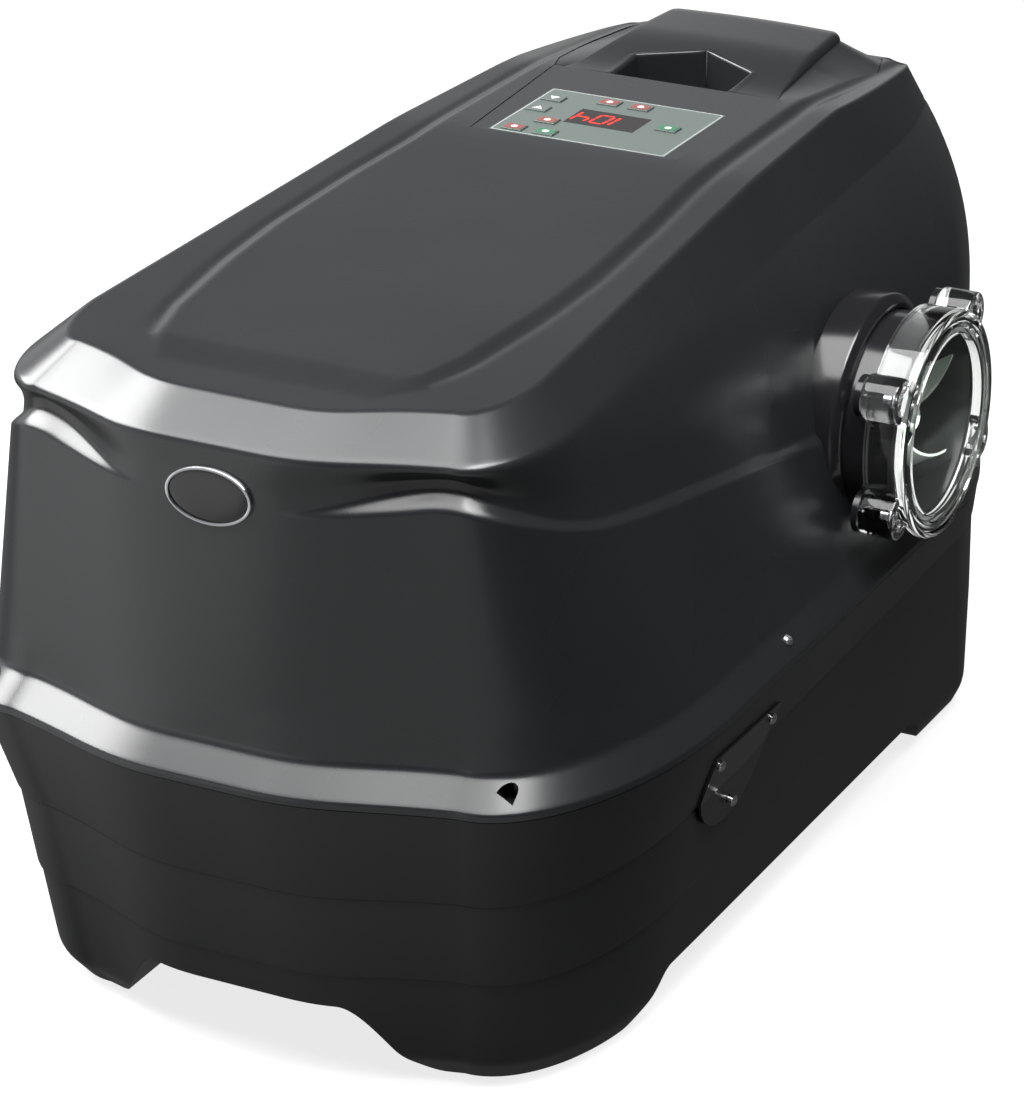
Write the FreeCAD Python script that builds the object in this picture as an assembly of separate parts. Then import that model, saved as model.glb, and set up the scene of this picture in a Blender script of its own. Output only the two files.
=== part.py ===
import FreeCAD, Part
import math
import os

# Spa heater-and-pump base unit, in millimetres. The model is drawn with x = 0 on the symmetry
# plane, y = 0 at the front corners of the ledge and z = 0 on the floor. +Y is the rear and +X is
# the side that carries the clear pump cover. finish_node() moves it to the centre of its box.

V = FreeCAD.Vector

# Driving dimensions of the casing
LEDGE_HALF_WIDTH = 200.0
NOSE_BOW = 26.0            # how far the front bows out between its two corners
NOSE_FLAT = 24.0           # half-width of the flat middle of the nose
REAR_Y = 637.0
PARTING_Z = 171.0          # joint between base tray and upper housing
LEDGE_Z = 174.5
LEDGE_TOP_Z = 189.0
WALL_BREAK_Z = 300.0
SHOULDER_Z = 346.0         # lower edge of the chamfer that runs round the top
TOP_FRONT_Y, TOP_FRONT_Z = 42.4, 364.4
TOP_FLAT_Y, TOP_Z = 376.0, 380.0
HOOD_Y, HOOD_Z, HOOD_FOOT_Z = 496.0, 385.5, 376.0
TAIL_TOP_Z = 366.0
TOP_SLOPE = (TOP_Z - TOP_FRONT_Z) / (TOP_FLAT_Y - TOP_FRONT_Y)
FIELD_STEP = 2.5           # the middle of the top stands this much higher
WALL = 3.0
GAP = 0.4                  # gap between a loose piece and the hole it sits in

# Base tray
CREASE_Z, CREASE_RISE = 113.0, 30.0
FOOT_CHAMFER_Z = 14.0
FRONT_ARCH_Z, SIDE_ARCH_Z = 44.0, 25.0
PAD_DROP = 2.0             # the rubber pads stand this far below the tray

# Control panel
PANEL_FRONT_HALF, PANEL_REAR_HALF = 62.0, 71.0
LABEL_X, LABEL_Y = (-52.0, 54.0), (378.0, 457.0)
DISPLAY_HALF_X, DISPLAY_Y = 21.0, (407.0, 432.0)
BUTTON_Z = (371.0, 380.9)
BUTTON_HALF = (6.0, 4.5)
BUTTONS = {
    "button_power": (-40.0, 386.0),
    "button_heater": (-21.0, 386.0),
    "button_up": (-43.0, 440.0),
    "button_down": (-43.0, 421.0),
    "button_timer": (-29.0, 404.0),
    "button_filter": (-12.0, 447.0),
    "button_bubbles": (7.0, 447.0),
    "button_unit": (36.0, 421.0),
}

# Finger notch in the rear hood
NOTCH_HALF, NOTCH_BACK_Y, NOTCH_APEX_Y, NOTCH_FLOOR_Z = 35.0, 530.0, 548.0, 352.0

# Pump, on an axis along X
PUMP_Y, PUMP_Z = 391.0, 251.0
COVER_X = (194.0, 219.0)
COVER_R = 62.0
NECK_R, NECK_BORE = 57.0, 53.0
NECK_X = (124.0, 208.6)
VOLUTE_X = 80.0
LUG_REACH, LUG_R = 64.0, 12.5
LUG_ANGLES = (48.0, 150.0, 212.0, -27.0)
SCREW_R, SCREW_HEAD_R = 2.0, 4.0
SHAFT_R = 4.0
BEARING_CLEARANCE = 0.05

# Water and air ports in the rear wall
PORT_REACH = 24.0
MOUTH_LENGTH = 15.0
PORTS = {"water_inlet": (52.0, 100.0, 25.0), "water_outlet": (-14.0, 100.0, 25.0),
         "air_port": (-74.0, 104.0, 20.0)}
GLAND_X, GLAND_Z, GLAND_R = 62.0, 147.0, 9.0

# Heater tube, on an axis along Y
HEATER_X, HEATER_Z, HEATER_R = -104.0, 120.0, 27.0
HEATER_Y = (150.0, 360.0)

# Air blower, on an axis along Z
BLOWER_X, BLOWER_Y, BLOWER_R = -62.0, 520.0, 52.0
BLOWER_Z = (135.0, 175.0)
OUTLET_X, OUTLET_Z = BLOWER_X - 34.0, BLOWER_Z[0] + 20.0

SHIFT = V(-(COVER_X[1] - LEDGE_HALF_WIDTH) / 2, -(REAR_Y + PORT_REACH - NOSE_BOW) / 2, PAD_DROP)


def line(a, b):
    return Part.LineSegment(a, b).toShape()


def bezier(*poles):
    curve = Part.BezierCurve()
    curve.setPoles(list(poles))
    return curve.toShape()


def box(x, y, z):
    """A box from three (low, high) pairs."""
    return Part.makeBox(x[1] - x[0], y[1] - y[0], z[1] - z[0], V(x[0], y[0], z[0]))


def rod(radius, start, end):
    """A round bar between two points."""
    along = end - start
    return Part.makeCylinder(radius, along.Length, start, along)


def prism(points, z0, z1):
    """A closed outline in plan, extruded from z0 to z1."""
    corners = [V(x, y, z0) for x, y in points]
    face = Part.Face(Part.makePolygon(corners + corners[:1]))
    return face.extrude(V(0, 0, z1 - z0))


def mirrored(half):
    """Completes an outline in plan from its right half."""
    return half + [(-x, y) for x, y in reversed(half)]


def side_prism(points, x0, x1):
    """An outline of (y, z) points, extruded along X."""
    corners = [V(x0, y, z) for y, z in points]
    return Part.Face(Part.makePolygon(corners + corners[:1])).extrude(V(x1 - x0, 0, 0))


def joined(shapes):
    result = shapes[0]
    for shape in shapes[1:]:
        result = result.fuse(shape)
    return result.removeSplitter()


def ring(corner, side_x, side_y, tail_x, tail_y, end_x, end_y, level, slope=0.0, inset=0.0):
    """One closed section of the casing, on a plane that may rise towards the rear.

    corner is the front crease, and the side runs from side_y to tail_y before it turns in.
    """
    kappa = 0.5523
    cx, cy = corner[0] - 0.6 * inset, corner[1] + inset
    nose_y = cy - NOSE_BOW
    sx, tx = side_x - inset, tail_x - inset
    ex, ey = end_x - 0.6 * inset, end_y - inset

    def at(x, y):
        return V(x, y, level + slope * y)

    def half(s):
        bow = [at(s * NOSE_FLAT, nose_y), at(s * (NOSE_FLAT + 38.0), nose_y),
               at(s * (cx - 45.0), cy - 11.5), at(s * cx, cy)]
        bend = [at(s * cx, cy), at(s * (cx + kappa * (sx - cx)), cy),
                at(s * sx, side_y - kappa * (side_y - cy)), at(s * sx, side_y)]
        flank = [at(s * sx, side_y), at(s * tx, tail_y)]
        reach = ey - tail_y
        tail = [at(s * tx, tail_y), at(s * tx, tail_y + 0.32 * reach),
                at(s * (ex + 0.42 * (tx - ex)), ey - 0.04 * reach), at(s * ex, ey)]
        return [bezier(*bow), bezier(*bend), line(*flank), bezier(*tail)]

    right, left = half(1), half(-1)
    front = line(at(-NOSE_FLAT, nose_y), at(NOSE_FLAT, nose_y))
    back = line(at(ex, ey), at(-ex, ey))
    return Part.Wire(Part.__sortEdges__([front] + right + [back] + left))


def loft(rings):
    return Part.makeLoft(rings, True, True)


def ledge_ring(level, step=0.0, inset=0.0):
    return ring((126.3 - step * 0.25, step), LEDGE_HALF_WIDTH - 0.7 * step, 156.0,
                LEDGE_HALF_WIDTH - 2.0 - 0.45 * step, 470.0, 96.0, REAR_Y - 0.4 * step, level, 0.0, inset)


def wall_ring(inset=0.0):
    """Part way up the wall, where the rear corners are still full."""
    return ring((116.8, 14.8), 159.6, 100.8, 158.0, 530.0, 112.0, 635.0, WALL_BREAK_Z, 0.0, inset)


def shoulder_ring(level=SHOULDER_Z, inset=0.0):
    return ring((114.3, 15.0), 147.0, 78.0, 121.0, 520.0, 98.0, 634.0, level, 0.0, inset)


def top_ring(lift=0.0, inset=0.0):
    level = TOP_FRONT_Z - TOP_SLOPE * TOP_FRONT_Y + lift
    return ring((104.0, TOP_FRONT_Y), 126.0, 92.0, 102.0, 500.0, 88.0, 632.0, level, TOP_SLOPE, inset)


def under_top(drop):
    """Everything lower than the top's profile, less a drop."""
    top = [(-60.0, TOP_FRONT_Z - TOP_SLOPE * (TOP_FRONT_Y + 60.0)), (TOP_FLAT_Y, TOP_Z),
           (HOOD_Y, TOP_Z), (REAR_Y + 10.0, TAIL_TOP_Z)]
    outline = [(y, z - drop) for y, z in top] + [(REAR_Y + 10.0, 100.0), (-60.0, 100.0)]
    return side_prism(outline, -260.0, 260.0)


def field_outline(inset=0.0):
    half = [(66.0, 46.0), (80.0, 98.0), (88.0, 160.0), (89.0, 215.0), (86.0, 288.0), (81.0, 350.0),
            (80.0, 420.0), (78.0, 500.0), (70.0, 540.0)]
    return mirrored([(x - inset, y) for x, y in half])


def panel_outline(inset=0.0):
    return mirrored([(PANEL_FRONT_HALF - inset, TOP_FLAT_Y + inset),
                     (PANEL_REAR_HALF - inset, HOOD_Y - inset)])


def hood_outline(inset=0.0):
    """The foot of the hood, where it stands in the top."""
    return mirrored([(PANEL_REAR_HALF - inset, HOOD_Y + inset), (76.0 - inset, 512.0),
                     (84.0 - inset, 600.0), (76.0 - inset, 626.0 - inset)])


def hood_crest(inset=0.0):
    """The flat top of the hood; its sides lean in from the foot."""
    return mirrored([(64.0 - inset, HOOD_Y + 2.0 + inset), (62.0 - inset, 514.0),
                     (54.0 - inset, 612.0), (47.0 - inset, 624.0 - inset)])


def notch_outline(grow=0.0):
    return mirrored([(NOTCH_HALF + grow, HOOD_Y - 8.0), (NOTCH_HALF + grow, NOTCH_BACK_Y),
                     (0.01, NOTCH_APEX_Y + grow)])


def upper_housing():
    outer = loft([ledge_ring(PARTING_Z), ledge_ring(LEDGE_Z), ledge_ring(LEDGE_TOP_Z, 14.4)])
    walls = loft([ledge_ring(LEDGE_TOP_Z, 14.4), wall_ring(), shoulder_ring(), top_ring()])
    body = outer.fuse(walls)
    field = prism(field_outline(), 350.0, 400.0).common(under_top(0.0))
    body = body.common(under_top(FIELD_STEP)).fuse(field)
    hollow = loft([ledge_ring(PARTING_Z, 14.4, WALL), wall_ring(WALL), shoulder_ring(SHOULDER_Z, WALL),
                   top_ring(-WALL, WALL)])
    hollow = hollow.common(under_top(FIELD_STEP + WALL))
    body = body.cut(hollow)
    body = body.cut(prism(panel_outline(), 340.0, 400.0))
    body = body.cut(prism(hood_outline(), 340.0, 400.0))
    body = body.cut(pump_bar(NECK_R + GAP, 100.0, 230.0))
    for side in (-1, 1):
        body = body.cut(screw_pocket(side))
    return body.cut(badge_blank(0.4)).cut(housing_screws())


def screw_pocket(side):
    """An arched recess in the ledge for one housing screw."""
    x, y = side * 146.0, 29.0
    return Part.makeCylinder(4.5, 16.0, V(x, y - 14.0, 182.0), V(0, 1, 0)).fuse(
        box((x - 4.5, x + 4.5), (y - 14.0, y + 2.0), (176.0, 182.0)))


def level_wire(points, level):
    corners = [V(x, y, level) for x, y in points]
    return Part.makePolygon(corners + corners[:1])


def hood_form(inset, drop, base):
    """The hood's foot with its leaning sides on top, a wall thickness lower where it is hollow."""
    foot = prism(hood_outline(inset), base, HOOD_FOOT_Z - drop)
    lean = loft([level_wire(hood_outline(inset), HOOD_FOOT_Z - drop),
                 level_wire(hood_crest(drop), HOOD_Z - drop)])
    return foot.fuse(lean)


def rear_hood():
    shell = hood_form(GAP, 0.0, 344.0)
    notch = prism(notch_outline(), NOTCH_FLOOR_Z, 400.0)
    pocket_wall = prism(notch_outline(WALL), NOTCH_FLOOR_Z - WALL, 400.0)
    hollow = hood_form(GAP + WALL, WALL, 340.0).cut(pocket_wall)
    return shell.cut(hollow).cut(notch)


def arch_outline(half_width, flat_half, height, lift=0.0):
    """Half-section of a foot arch: flat in the middle, with an S-curve down to the floor."""
    points = []
    steps = 10
    for i in range(steps + 1):
        t = i / steps
        fall = 0.5 - 0.5 * math.cos(math.pi * t)
        points.append((flat_half + (half_width - flat_half) * t, (height + lift) * (1.0 - fall)))
    points[-1] = (half_width, 0.0)
    return points


def arches(lift=0.0):
    """The two tunnels under the tray, enlarged by lift when they shape the inside."""
    front = arch_outline(97.0 + lift, 52.0 + lift, FRONT_ARCH_Z, lift)
    points = [(front[-1][0], -5.0)] + list(reversed(front))
    points = points + [(-x, z) for x, z in reversed(points)]
    corners = [V(x, -60.0, z) for x, z in points]
    along_y = Part.Face(Part.makePolygon(corners + corners[:1])).extrude(V(0, 760.0, 0))
    side = arch_outline(197.0 + lift, 160.0 + lift, SIDE_ARCH_Z, lift)
    points = [(side[-1][0], -5.0)] + list(reversed(side))
    points = points + [(-y, z) for y, z in reversed(points)]
    middle = 320.0
    along_x = side_prism([(y + middle, z) for y, z in points], -260.0, 260.0)
    return along_y.fuse(along_x)


def tray_rings(inset=0.0, floor=0.0, rim=PARTING_Z - 1.0):
    slope = CREASE_RISE / REAR_Y
    rings = [
        ring((105.0, 49.0), 158.0, 150.0, 157.0, 566.0, 112.0, 627.0, floor, 0.0, inset),
        ring((110.0, 38.0), 166.0, 150.0, 165.0, 556.0, 116.0, 633.0, FOOT_CHAMFER_Z + floor, 0.0, inset),
        ring((119.0, 18.5), 182.0, 154.0, 184.0, 500.0, 110.0, 636.0, CREASE_Z, slope, inset),
        ledge_ring(rim, 1.2, inset),
    ]
    return rings


def base_tray():
    outer = loft(tray_rings()).cut(arches())
    hollow = loft(tray_rings(WALL, WALL, PARTING_Z + 1.0)).cut(arches(WALL))
    body = outer.cut(hollow)
    for x, z, radius in PORTS.values():
        body = body.cut(rod(radius + GAP, V(x, 560.0, z), V(x, 700.0, z)))
    body = body.cut(rod(GLAND_R + GAP, V(GLAND_X, 560.0, GLAND_Z), V(GLAND_X, 700.0, GLAND_Z)))
    return body.cut(plate_screws())


def foot_pads():
    pads = []
    for x, y in ((112.0, 82.0), (-112.0, 82.0), (118.0, 536.0), (-118.0, 536.0)):
        pad = Part.makeCone(13.0, 15.0, PAD_DROP, V(x, y, -PAD_DROP), V(0, 0, 1))
        pads.append(pad)
    return Part.makeCompound(pads)


def panel_case():
    body = prism(panel_outline(GAP), 352.0, TOP_Z)
    body = body.cut(prism(panel_outline(GAP + WALL), 340.0, TOP_Z - WALL))
    label_seat = box(LABEL_X, LABEL_Y, (TOP_Z - 0.8, TOP_Z + 5.0))
    body = body.cut(label_seat)
    body = body.cut(display_bar(0.2))
    for x, y in BUTTONS.values():
        body = body.cut(button_bar(x, y, GAP))
    return body


def display_bar(grow):
    return box((-DISPLAY_HALF_X - grow, DISPLAY_HALF_X + grow),
               (DISPLAY_Y[0] - grow, DISPLAY_Y[1] + grow), (TOP_Z - 6.0, TOP_Z + 5.0))


def button_bar(x, y, grow):
    half_x, half_y = BUTTON_HALF[0] + grow, BUTTON_HALF[1] + grow
    return box((x - half_x, x + half_x), (y - half_y, y + half_y), (BUTTON_Z[0] - 4.0, 400.0))


def button(x, y):
    """A key cap with a wider skirt that keeps it from lifting out of the case."""
    half_x, half_y = BUTTON_HALF
    cap = box((x - half_x, x + half_x), (y - half_y, y + half_y), (BUTTON_Z[0] + 2.0, BUTTON_Z[1]))
    cap = cap.makeFillet(0.4, [e for e in cap.Edges if e.CenterOfMass.z > BUTTON_Z[1] - 0.01])
    stem = box((x - 2.0, x + 2.0), (y - 2.0, y + 2.0), (BUTTON_Z[0], BUTTON_Z[0] + 2.0))
    return cap.fuse(stem)


def panel_back():
    """The plate that closes the module, with four posts for the control board."""
    plate = prism(panel_outline(GAP), 350.0, 352.0)
    posts = [rod(3.0, V(x, y, 351.0), V(x, y, 364.8)) for x in (-50.0, 50.0) for y in (386.0, 465.0)]
    return joined([plate] + posts)


def panel_label():
    body = box((LABEL_X[0] + 0.1, LABEL_X[1] - 0.1), (LABEL_Y[0] + 0.1, LABEL_Y[1] - 0.1),
               (TOP_Z - 0.8, TOP_Z + 0.1))
    body = body.cut(display_bar(0.1))
    for x, y in BUTTONS.values():
        body = body.cut(button_bar(x, y, GAP))
    return body


def display_window():
    return display_bar(0.0).common(box((-99.0, 99.0), (300.0, 500.0), (TOP_Z - 3.0, TOP_Z + 0.1)))


def control_board():
    """The printed board with the display block soldered on it."""
    board = box((-55.0, 55.0), (382.0, 470.0), (364.8, 366.4))
    return board.fuse(box((-20.0, 20.0), (DISPLAY_Y[0] + 1.0, DISPLAY_Y[1] - 1.0), (366.0, TOP_Z - 3.4)))


def badge_blank(grow):
    """An upright oval plate on the front wall."""
    centre = V(0.0, -11.0, 320.0)
    oval = Part.Ellipse(centre, 24.0 + grow, 15.0 + grow)
    oval.Axis = V(0, -1, 0)
    face = Part.Face(Part.Wire(oval.toShape()))
    return face.extrude(V(0, 5.0, 0))


def badge():
    """A blank oval badge let into the nose."""
    return badge_blank(0.0).common(box((-40.0, 40.0), (-14.0, -5.0), (290.0, 350.0)))


def pump_bar(radius, x0, x1):
    return rod(radius, V(x0, PUMP_Y, PUMP_Z), V(x1, PUMP_Y, PUMP_Z))


def pump_tube(outer, inner, x0, x1):
    return pump_bar(outer, x0, x1).cut(pump_bar(inner, x0 - 1.0, x1 + 1.0))


def lug_centre(angle):
    turn = math.radians(angle)
    return PUMP_Y + LUG_REACH * math.cos(turn), PUMP_Z + LUG_REACH * math.sin(turn)


def pump_cover():
    """The clear cap: a drum with a ribbed face and four lugs that take its screws."""
    drum = pump_bar(COVER_R, *COVER_X)
    for angle in LUG_ANGLES:
        y, z = lug_centre(angle)
        drum = drum.fuse(rod(LUG_R, V(COVER_X[0], y, z), V(COVER_X[1] - 5.0, y, z)))
    drum = drum.cut(pump_bar(NECK_R + 0.35, COVER_X[0] - 1.0, COVER_X[1] - 8.0))
    drum = drum.cut(pump_bar(50.0, COVER_X[0] - 1.0, COVER_X[1] - 4.0))
    drum = drum.cut(pump_tube(59.5, 56.5, COVER_X[1] - 2.0, COVER_X[1] + 1.0))
    for angle in LUG_ANGLES:
        y, z = lug_centre(angle)
        drum = drum.cut(rod(SCREW_R, V(COVER_X[0] - 1.0, y, z), V(COVER_X[1], y, z)))
        drum = drum.cut(rod(SCREW_HEAD_R + 0.6, V(COVER_X[1] - 10.0, y, z), V(COVER_X[1], y, z)))
    return drum


def cover_screws():
    screws = []
    for angle in LUG_ANGLES:
        y, z = lug_centre(angle)
        seat = V(COVER_X[1] - 10.0, y, z)
        head = rod(SCREW_HEAD_R, seat, seat + V(2.6, 0, 0))
        head = head.cut(rod(1.6, seat + V(1.0, 0, 0), seat + V(4.0, 0, 0)))
        screws.append(head.fuse(rod(SCREW_R, V(COVER_X[0] - 3.0, y, z), seat)))
    return Part.makeCompound(screws)


def cover_o_ring():
    return pump_tube(NECK_R - 0.2, NECK_BORE + 0.2, COVER_X[1] - 10.0, COVER_X[1] - 8.4)


def pump_neck():
    """The neck that stands out of the side wall, with four ears for the cover's screws."""
    body = pump_bar(NECK_R, *NECK_X).fuse(pump_bar(NECK_R + 9.0, NECK_X[0], NECK_X[0] + 6.0))
    for angle in LUG_ANGLES:
        y, z = lug_centre(angle)
        body = body.fuse(rod(LUG_R - 1.0, V(COVER_X[0] - 3.6, y, z), V(COVER_X[0] - 0.2, y, z)))
        body = body.cut(rod(SCREW_R, V(COVER_X[0] - 5.0, y, z), V(COVER_X[0] + 5.0, y, z)))
    return body.cut(pump_bar(NECK_BORE, 100.0, 230.0))


def pump_volute():
    """The back half of the pump chamber, with its outlet pipe pointing down."""
    outlet_y = PUMP_Y - 40.0
    middle = (VOLUTE_X + NECK_X[0]) / 2
    drum = pump_bar(NECK_R + 9.0, VOLUTE_X, NECK_X[0] - 0.2)
    drum = drum.fuse(rod(17.0, V(middle, outlet_y, 205.0), V(middle, outlet_y, 160.0)))
    drum = drum.cut(pump_bar(NECK_BORE, VOLUTE_X + 6.0, 150.0))
    drum = drum.cut(rod(13.5, V(middle, outlet_y, 230.0), V(middle, outlet_y, 150.0)))
    return drum.cut(pump_bar(SHAFT_R + BEARING_CLEARANCE, 70.0, 110.0))


def impeller():
    """A hub with curved vanes on a back plate."""
    plate_x, tip_x = VOLUTE_X + 12.0, 200.0
    parts = [pump_bar(13.0, plate_x, tip_x), pump_bar(46.0, plate_x, plate_x + 3.0)]
    vanes = 5
    for i in range(vanes):
        points = []
        for side in (1, -1):
            order = range(9) if side > 0 else range(8, -1, -1)
            for k in order:
                radius = 10.0 + 4.3 * k
                turn = 2 * math.pi * i / vanes + 0.11 * k + side * 1.1 / radius
                points.append(V(plate_x + 2.0, PUMP_Y + radius * math.cos(turn),
                                PUMP_Z + radius * math.sin(turn)))
        face = Part.Face(Part.makePolygon(points + points[:1]))
        parts.append(face.extrude(V(tip_x - plate_x - 6.0, 0, 0)))
    body = parts[0]
    for piece in parts[1:]:
        body = body.fuse(piece)
    return body.cut(pump_bar(SHAFT_R, 90.0, 190.0))


def pump_shaft():
    return pump_bar(SHAFT_R, -86.0, 190.0)


def shaft_seal():
    return pump_tube(11.0, SHAFT_R + BEARING_CLEARANCE, VOLUTE_X - 6.0, VOLUTE_X)


def motor_rotor():
    return pump_tube(26.0, SHAFT_R, -62.0, 44.0)


MOTOR_X = (-78.0, 64.0)


def pump_motor():
    low, high = MOTOR_X
    body = pump_bar(46.0, low, high).cut(pump_bar(27.0, low + 6.0, high - 6.0))
    return body.cut(pump_bar(SHAFT_R + BEARING_CLEARANCE, low - 20.0, high + 20.0))


def motor_fan_cowl():
    """The slotted cap behind the motor."""
    low = MOTOR_X[0] - 28.0
    body = pump_bar(48.0, low, MOTOR_X[0]).cut(pump_bar(45.0, low + 3.0, MOTOR_X[0]))
    spokes = box((low - 5.0, low + 5.0), (PUMP_Y - 3.0, PUMP_Y + 3.0), (150.0, 350.0)).fuse(
        box((low - 5.0, low + 5.0), (300.0, 480.0), (PUMP_Z - 3.0, PUMP_Z + 3.0)))
    for k in range(3):
        radius = 14.0 + 9.0 * k
        body = body.cut(pump_tube(radius + 3.0, radius, low - 2.0, low + 4.0).cut(spokes))
    return body


def motor_bracket():
    legs = [box((x, x + 6.0), (PUMP_Y - 42.0, PUMP_Y + 42.0), (FRONT_ARCH_Z + WALL + 0.2, PUMP_Z - 10.0))
            for x in (-50.0, 44.0)]
    plate = box((-50.0, 50.0), (PUMP_Y - 42.0, PUMP_Y + 42.0),
                (FRONT_ARCH_Z + WALL + 0.2, FRONT_ARCH_Z + WALL + 5.0))
    return joined(legs + [plate]).cut(pump_bar(46.0, -70.0, 90.0))


def heater_bar(radius, y0, y1):
    return rod(radius, V(HEATER_X, y0, HEATER_Z), V(HEATER_X, y1, HEATER_Z))


def heater_tube():
    return heater_bar(HEATER_R, *HEATER_Y).cut(heater_bar(HEATER_R - 2.0, HEATER_Y[0] - 1, HEATER_Y[1] + 1))


def heater_cap(y0, y1, wired=False):
    """An end cap with a spigot on top; the wired one lets the element's legs out."""
    middle = (y0 + y1) / 2
    body = heater_bar(HEATER_R + 5.0, y0, y1)
    seat = heater_bar(HEATER_R, HEATER_Y[0], HEATER_Y[1])
    spigot = rod(17.0, V(HEATER_X, middle, HEATER_Z), V(HEATER_X, middle, HEATER_Z + 48.0))
    bore = rod(13.5, V(HEATER_X, middle, HEATER_Z), V(HEATER_X, middle, HEATER_Z + 60.0))
    room = heater_bar(HEATER_R - 4.0, y0 + 5.0, y1 - 5.0)
    body = body.fuse(spigot).cut(bore).cut(room).cut(seat)
    if wired:
        body = body.cut(heating_element())
    return body


def heating_element():
    rods = [rod(4.0, V(HEATER_X + dx, HEATER_Y[0] - 46.0, HEATER_Z - 6.0),
                V(HEATER_X + dx, HEATER_Y[1] - 14.0, HEATER_Z - 6.0)) for dx in (-9.0, 9.0)]
    bridge = rod(4.0, V(HEATER_X - 9.0, HEATER_Y[1] - 14.0, HEATER_Z - 6.0),
                 V(HEATER_X + 9.0, HEATER_Y[1] - 14.0, HEATER_Z - 6.0))
    return joined(rods + [bridge])


def thermal_cutout():
    return box((HEATER_X - 8.0, HEATER_X + 8.0), (240.0, 262.0),
               (HEATER_Z + HEATER_R, HEATER_Z + HEATER_R + 9.0))


def heater_clips():
    """Two saddles that hold the heater tube down to the tray."""
    saddles = []
    for y in (196.0, 300.0):
        block = box((HEATER_X - 22.0, HEATER_X + 22.0), (y, y + 12.0), (56.0, HEATER_Z))
        block = block.cut(heater_bar(HEATER_R, 100.0, 400.0))
        saddles.append(block.common(loft(tray_rings(WALL + 0.2, WALL)).cut(arches(WALL + 0.2))))
    return Part.makeCompound(saddles)


def port_tube(name):
    """A spigot that passes through the rear wall, with a flange inside and a thicker mouth."""
    x, z, radius = PORTS[name]
    end = REAR_Y + PORT_REACH
    body = rod(radius - 1.0, V(x, 560.0, z), V(x, end, z))
    body = body.fuse(rod(radius, V(x, end - MOUTH_LENGTH, z), V(x, end, z)))
    body = body.fuse(rod(radius + 6.0, V(x, 596.0, z), V(x, 601.0, z)))
    return body.cut(rod(radius - 4.0, V(x, 550.0, z), V(x, end + 1.0, z)))


def port_nut(name):
    """The ring nut that clamps a port to the wall."""
    x, z, radius = PORTS[name]
    reach = radius + 7.0
    corners = [V(x + reach * math.cos(math.pi * k / 6), REAR_Y + 1.0, z + reach * math.sin(math.pi * k / 6))
               for k in range(12)]
    body = Part.Face(Part.makePolygon(corners + corners[:1])).extrude(V(0, 6.0, 0))
    return body.cut(rod(radius - 1.0, V(x, 560.0, z), V(x, 700.0, z)))


def cable_gland():
    start, end = V(GLAND_X, 606.0, GLAND_Z), V(GLAND_X, REAR_Y + 12.0, GLAND_Z)
    body = rod(GLAND_R, start, end)
    return body.cut(rod(4.0, V(GLAND_X, 600.0, GLAND_Z), V(GLAND_X, 700.0, GLAND_Z)))


def bent_tube(points, outer, inner):
    """A hose on straight runs joined by tangent arcs."""
    bend = 1.6 * outer
    edges = []
    start = points[0]
    for i in range(1, len(points) - 1):
        into = (points[i] - points[i - 1]).normalize()
        away = (points[i + 1] - points[i]).normalize()
        trim = bend * math.tan(into.getAngle(away) / 2)
        a, b = points[i] - into * trim, points[i] + away * trim
        towards = (away - into).normalize()
        reach = math.hypot(bend, trim) - bend
        middle = points[i] + towards * reach
        edges.append(line(start, a))
        edges.append(Part.Arc(a, middle, b).toShape())
        start = b
    edges.append(line(start, points[-1]))
    path = Part.Wire(edges)
    along = (points[1] - points[0]).normalize()
    solids = []
    for radius in (outer, inner):
        profile = Part.Wire(Part.makeCircle(radius, points[0], along))
        solids.append(path.makePipeShell([profile], True, True))
    return solids[0].cut(solids[1])


def hose_pump_to_heater():
    y0 = PUMP_Y - 40.0
    return bent_tube([V(120.0, y0, 159.8), V(120.0, y0, 88.0), V(120.0, 132.5, 88.0)], 17.0, 13.5)


def blower_bar(radius, z0, z1):
    return rod(radius, V(BLOWER_X, BLOWER_Y, z0), V(BLOWER_X, BLOWER_Y, z1))


def blower_housing():
    body = blower_bar(BLOWER_R, *BLOWER_Z)
    outlet, mouth = V(OUTLET_X, BLOWER_Y, OUTLET_Z), V(OUTLET_X, BLOWER_Y - 82.0, OUTLET_Z)
    body = body.fuse(rod(17.0, outlet, mouth))
    body = body.cut(blower_bar(BLOWER_R - 2.5, BLOWER_Z[0] + 3.0, BLOWER_Z[1] - 3.0))
    body = body.cut(rod(14.0, outlet, mouth - V(0, 5.0, 0)))
    body = body.cut(blower_bar(16.0, BLOWER_Z[1] - 5.0, BLOWER_Z[1] + 5.0))
    return body.cut(blower_bar(3.0 + BEARING_CLEARANCE, BLOWER_Z[0] - 5.0, BLOWER_Z[0] + 5.0))


def blower_fan():
    low = BLOWER_Z[0] + 6.0
    body = blower_bar(40.0, low, low + 2.5).fuse(blower_bar(9.0, low, low + 14.0))
    for k in range(12):
        turn = 2 * math.pi * k / 12
        blade = box((14.0, 39.0), (-0.9, 0.9), (low + 2.0, low + 20.0))
        blade.rotate(V(0, 0, 0), V(0, 0, 1), math.degrees(turn))
        blade.translate(V(BLOWER_X, BLOWER_Y, 0.0))
        body = body.fuse(blade)
    return body.cut(blower_bar(3.0, low - 5.0, low + 10.0))


def blower_shaft():
    return blower_bar(3.0, BLOWER_Z[0] - 40.0, BLOWER_Z[0] + 16.0)


def blower_motor():
    body = blower_bar(32.0, BLOWER_Z[0] - 66.0, BLOWER_Z[0] - 0.2)
    body = body.cut(blower_bar(18.0, BLOWER_Z[0] - 60.0, BLOWER_Z[0] - 6.0))
    return body.cut(blower_bar(3.0 + BEARING_CLEARANCE, BLOWER_Z[0] - 10.0, BLOWER_Z[0] + 5.0))


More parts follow.
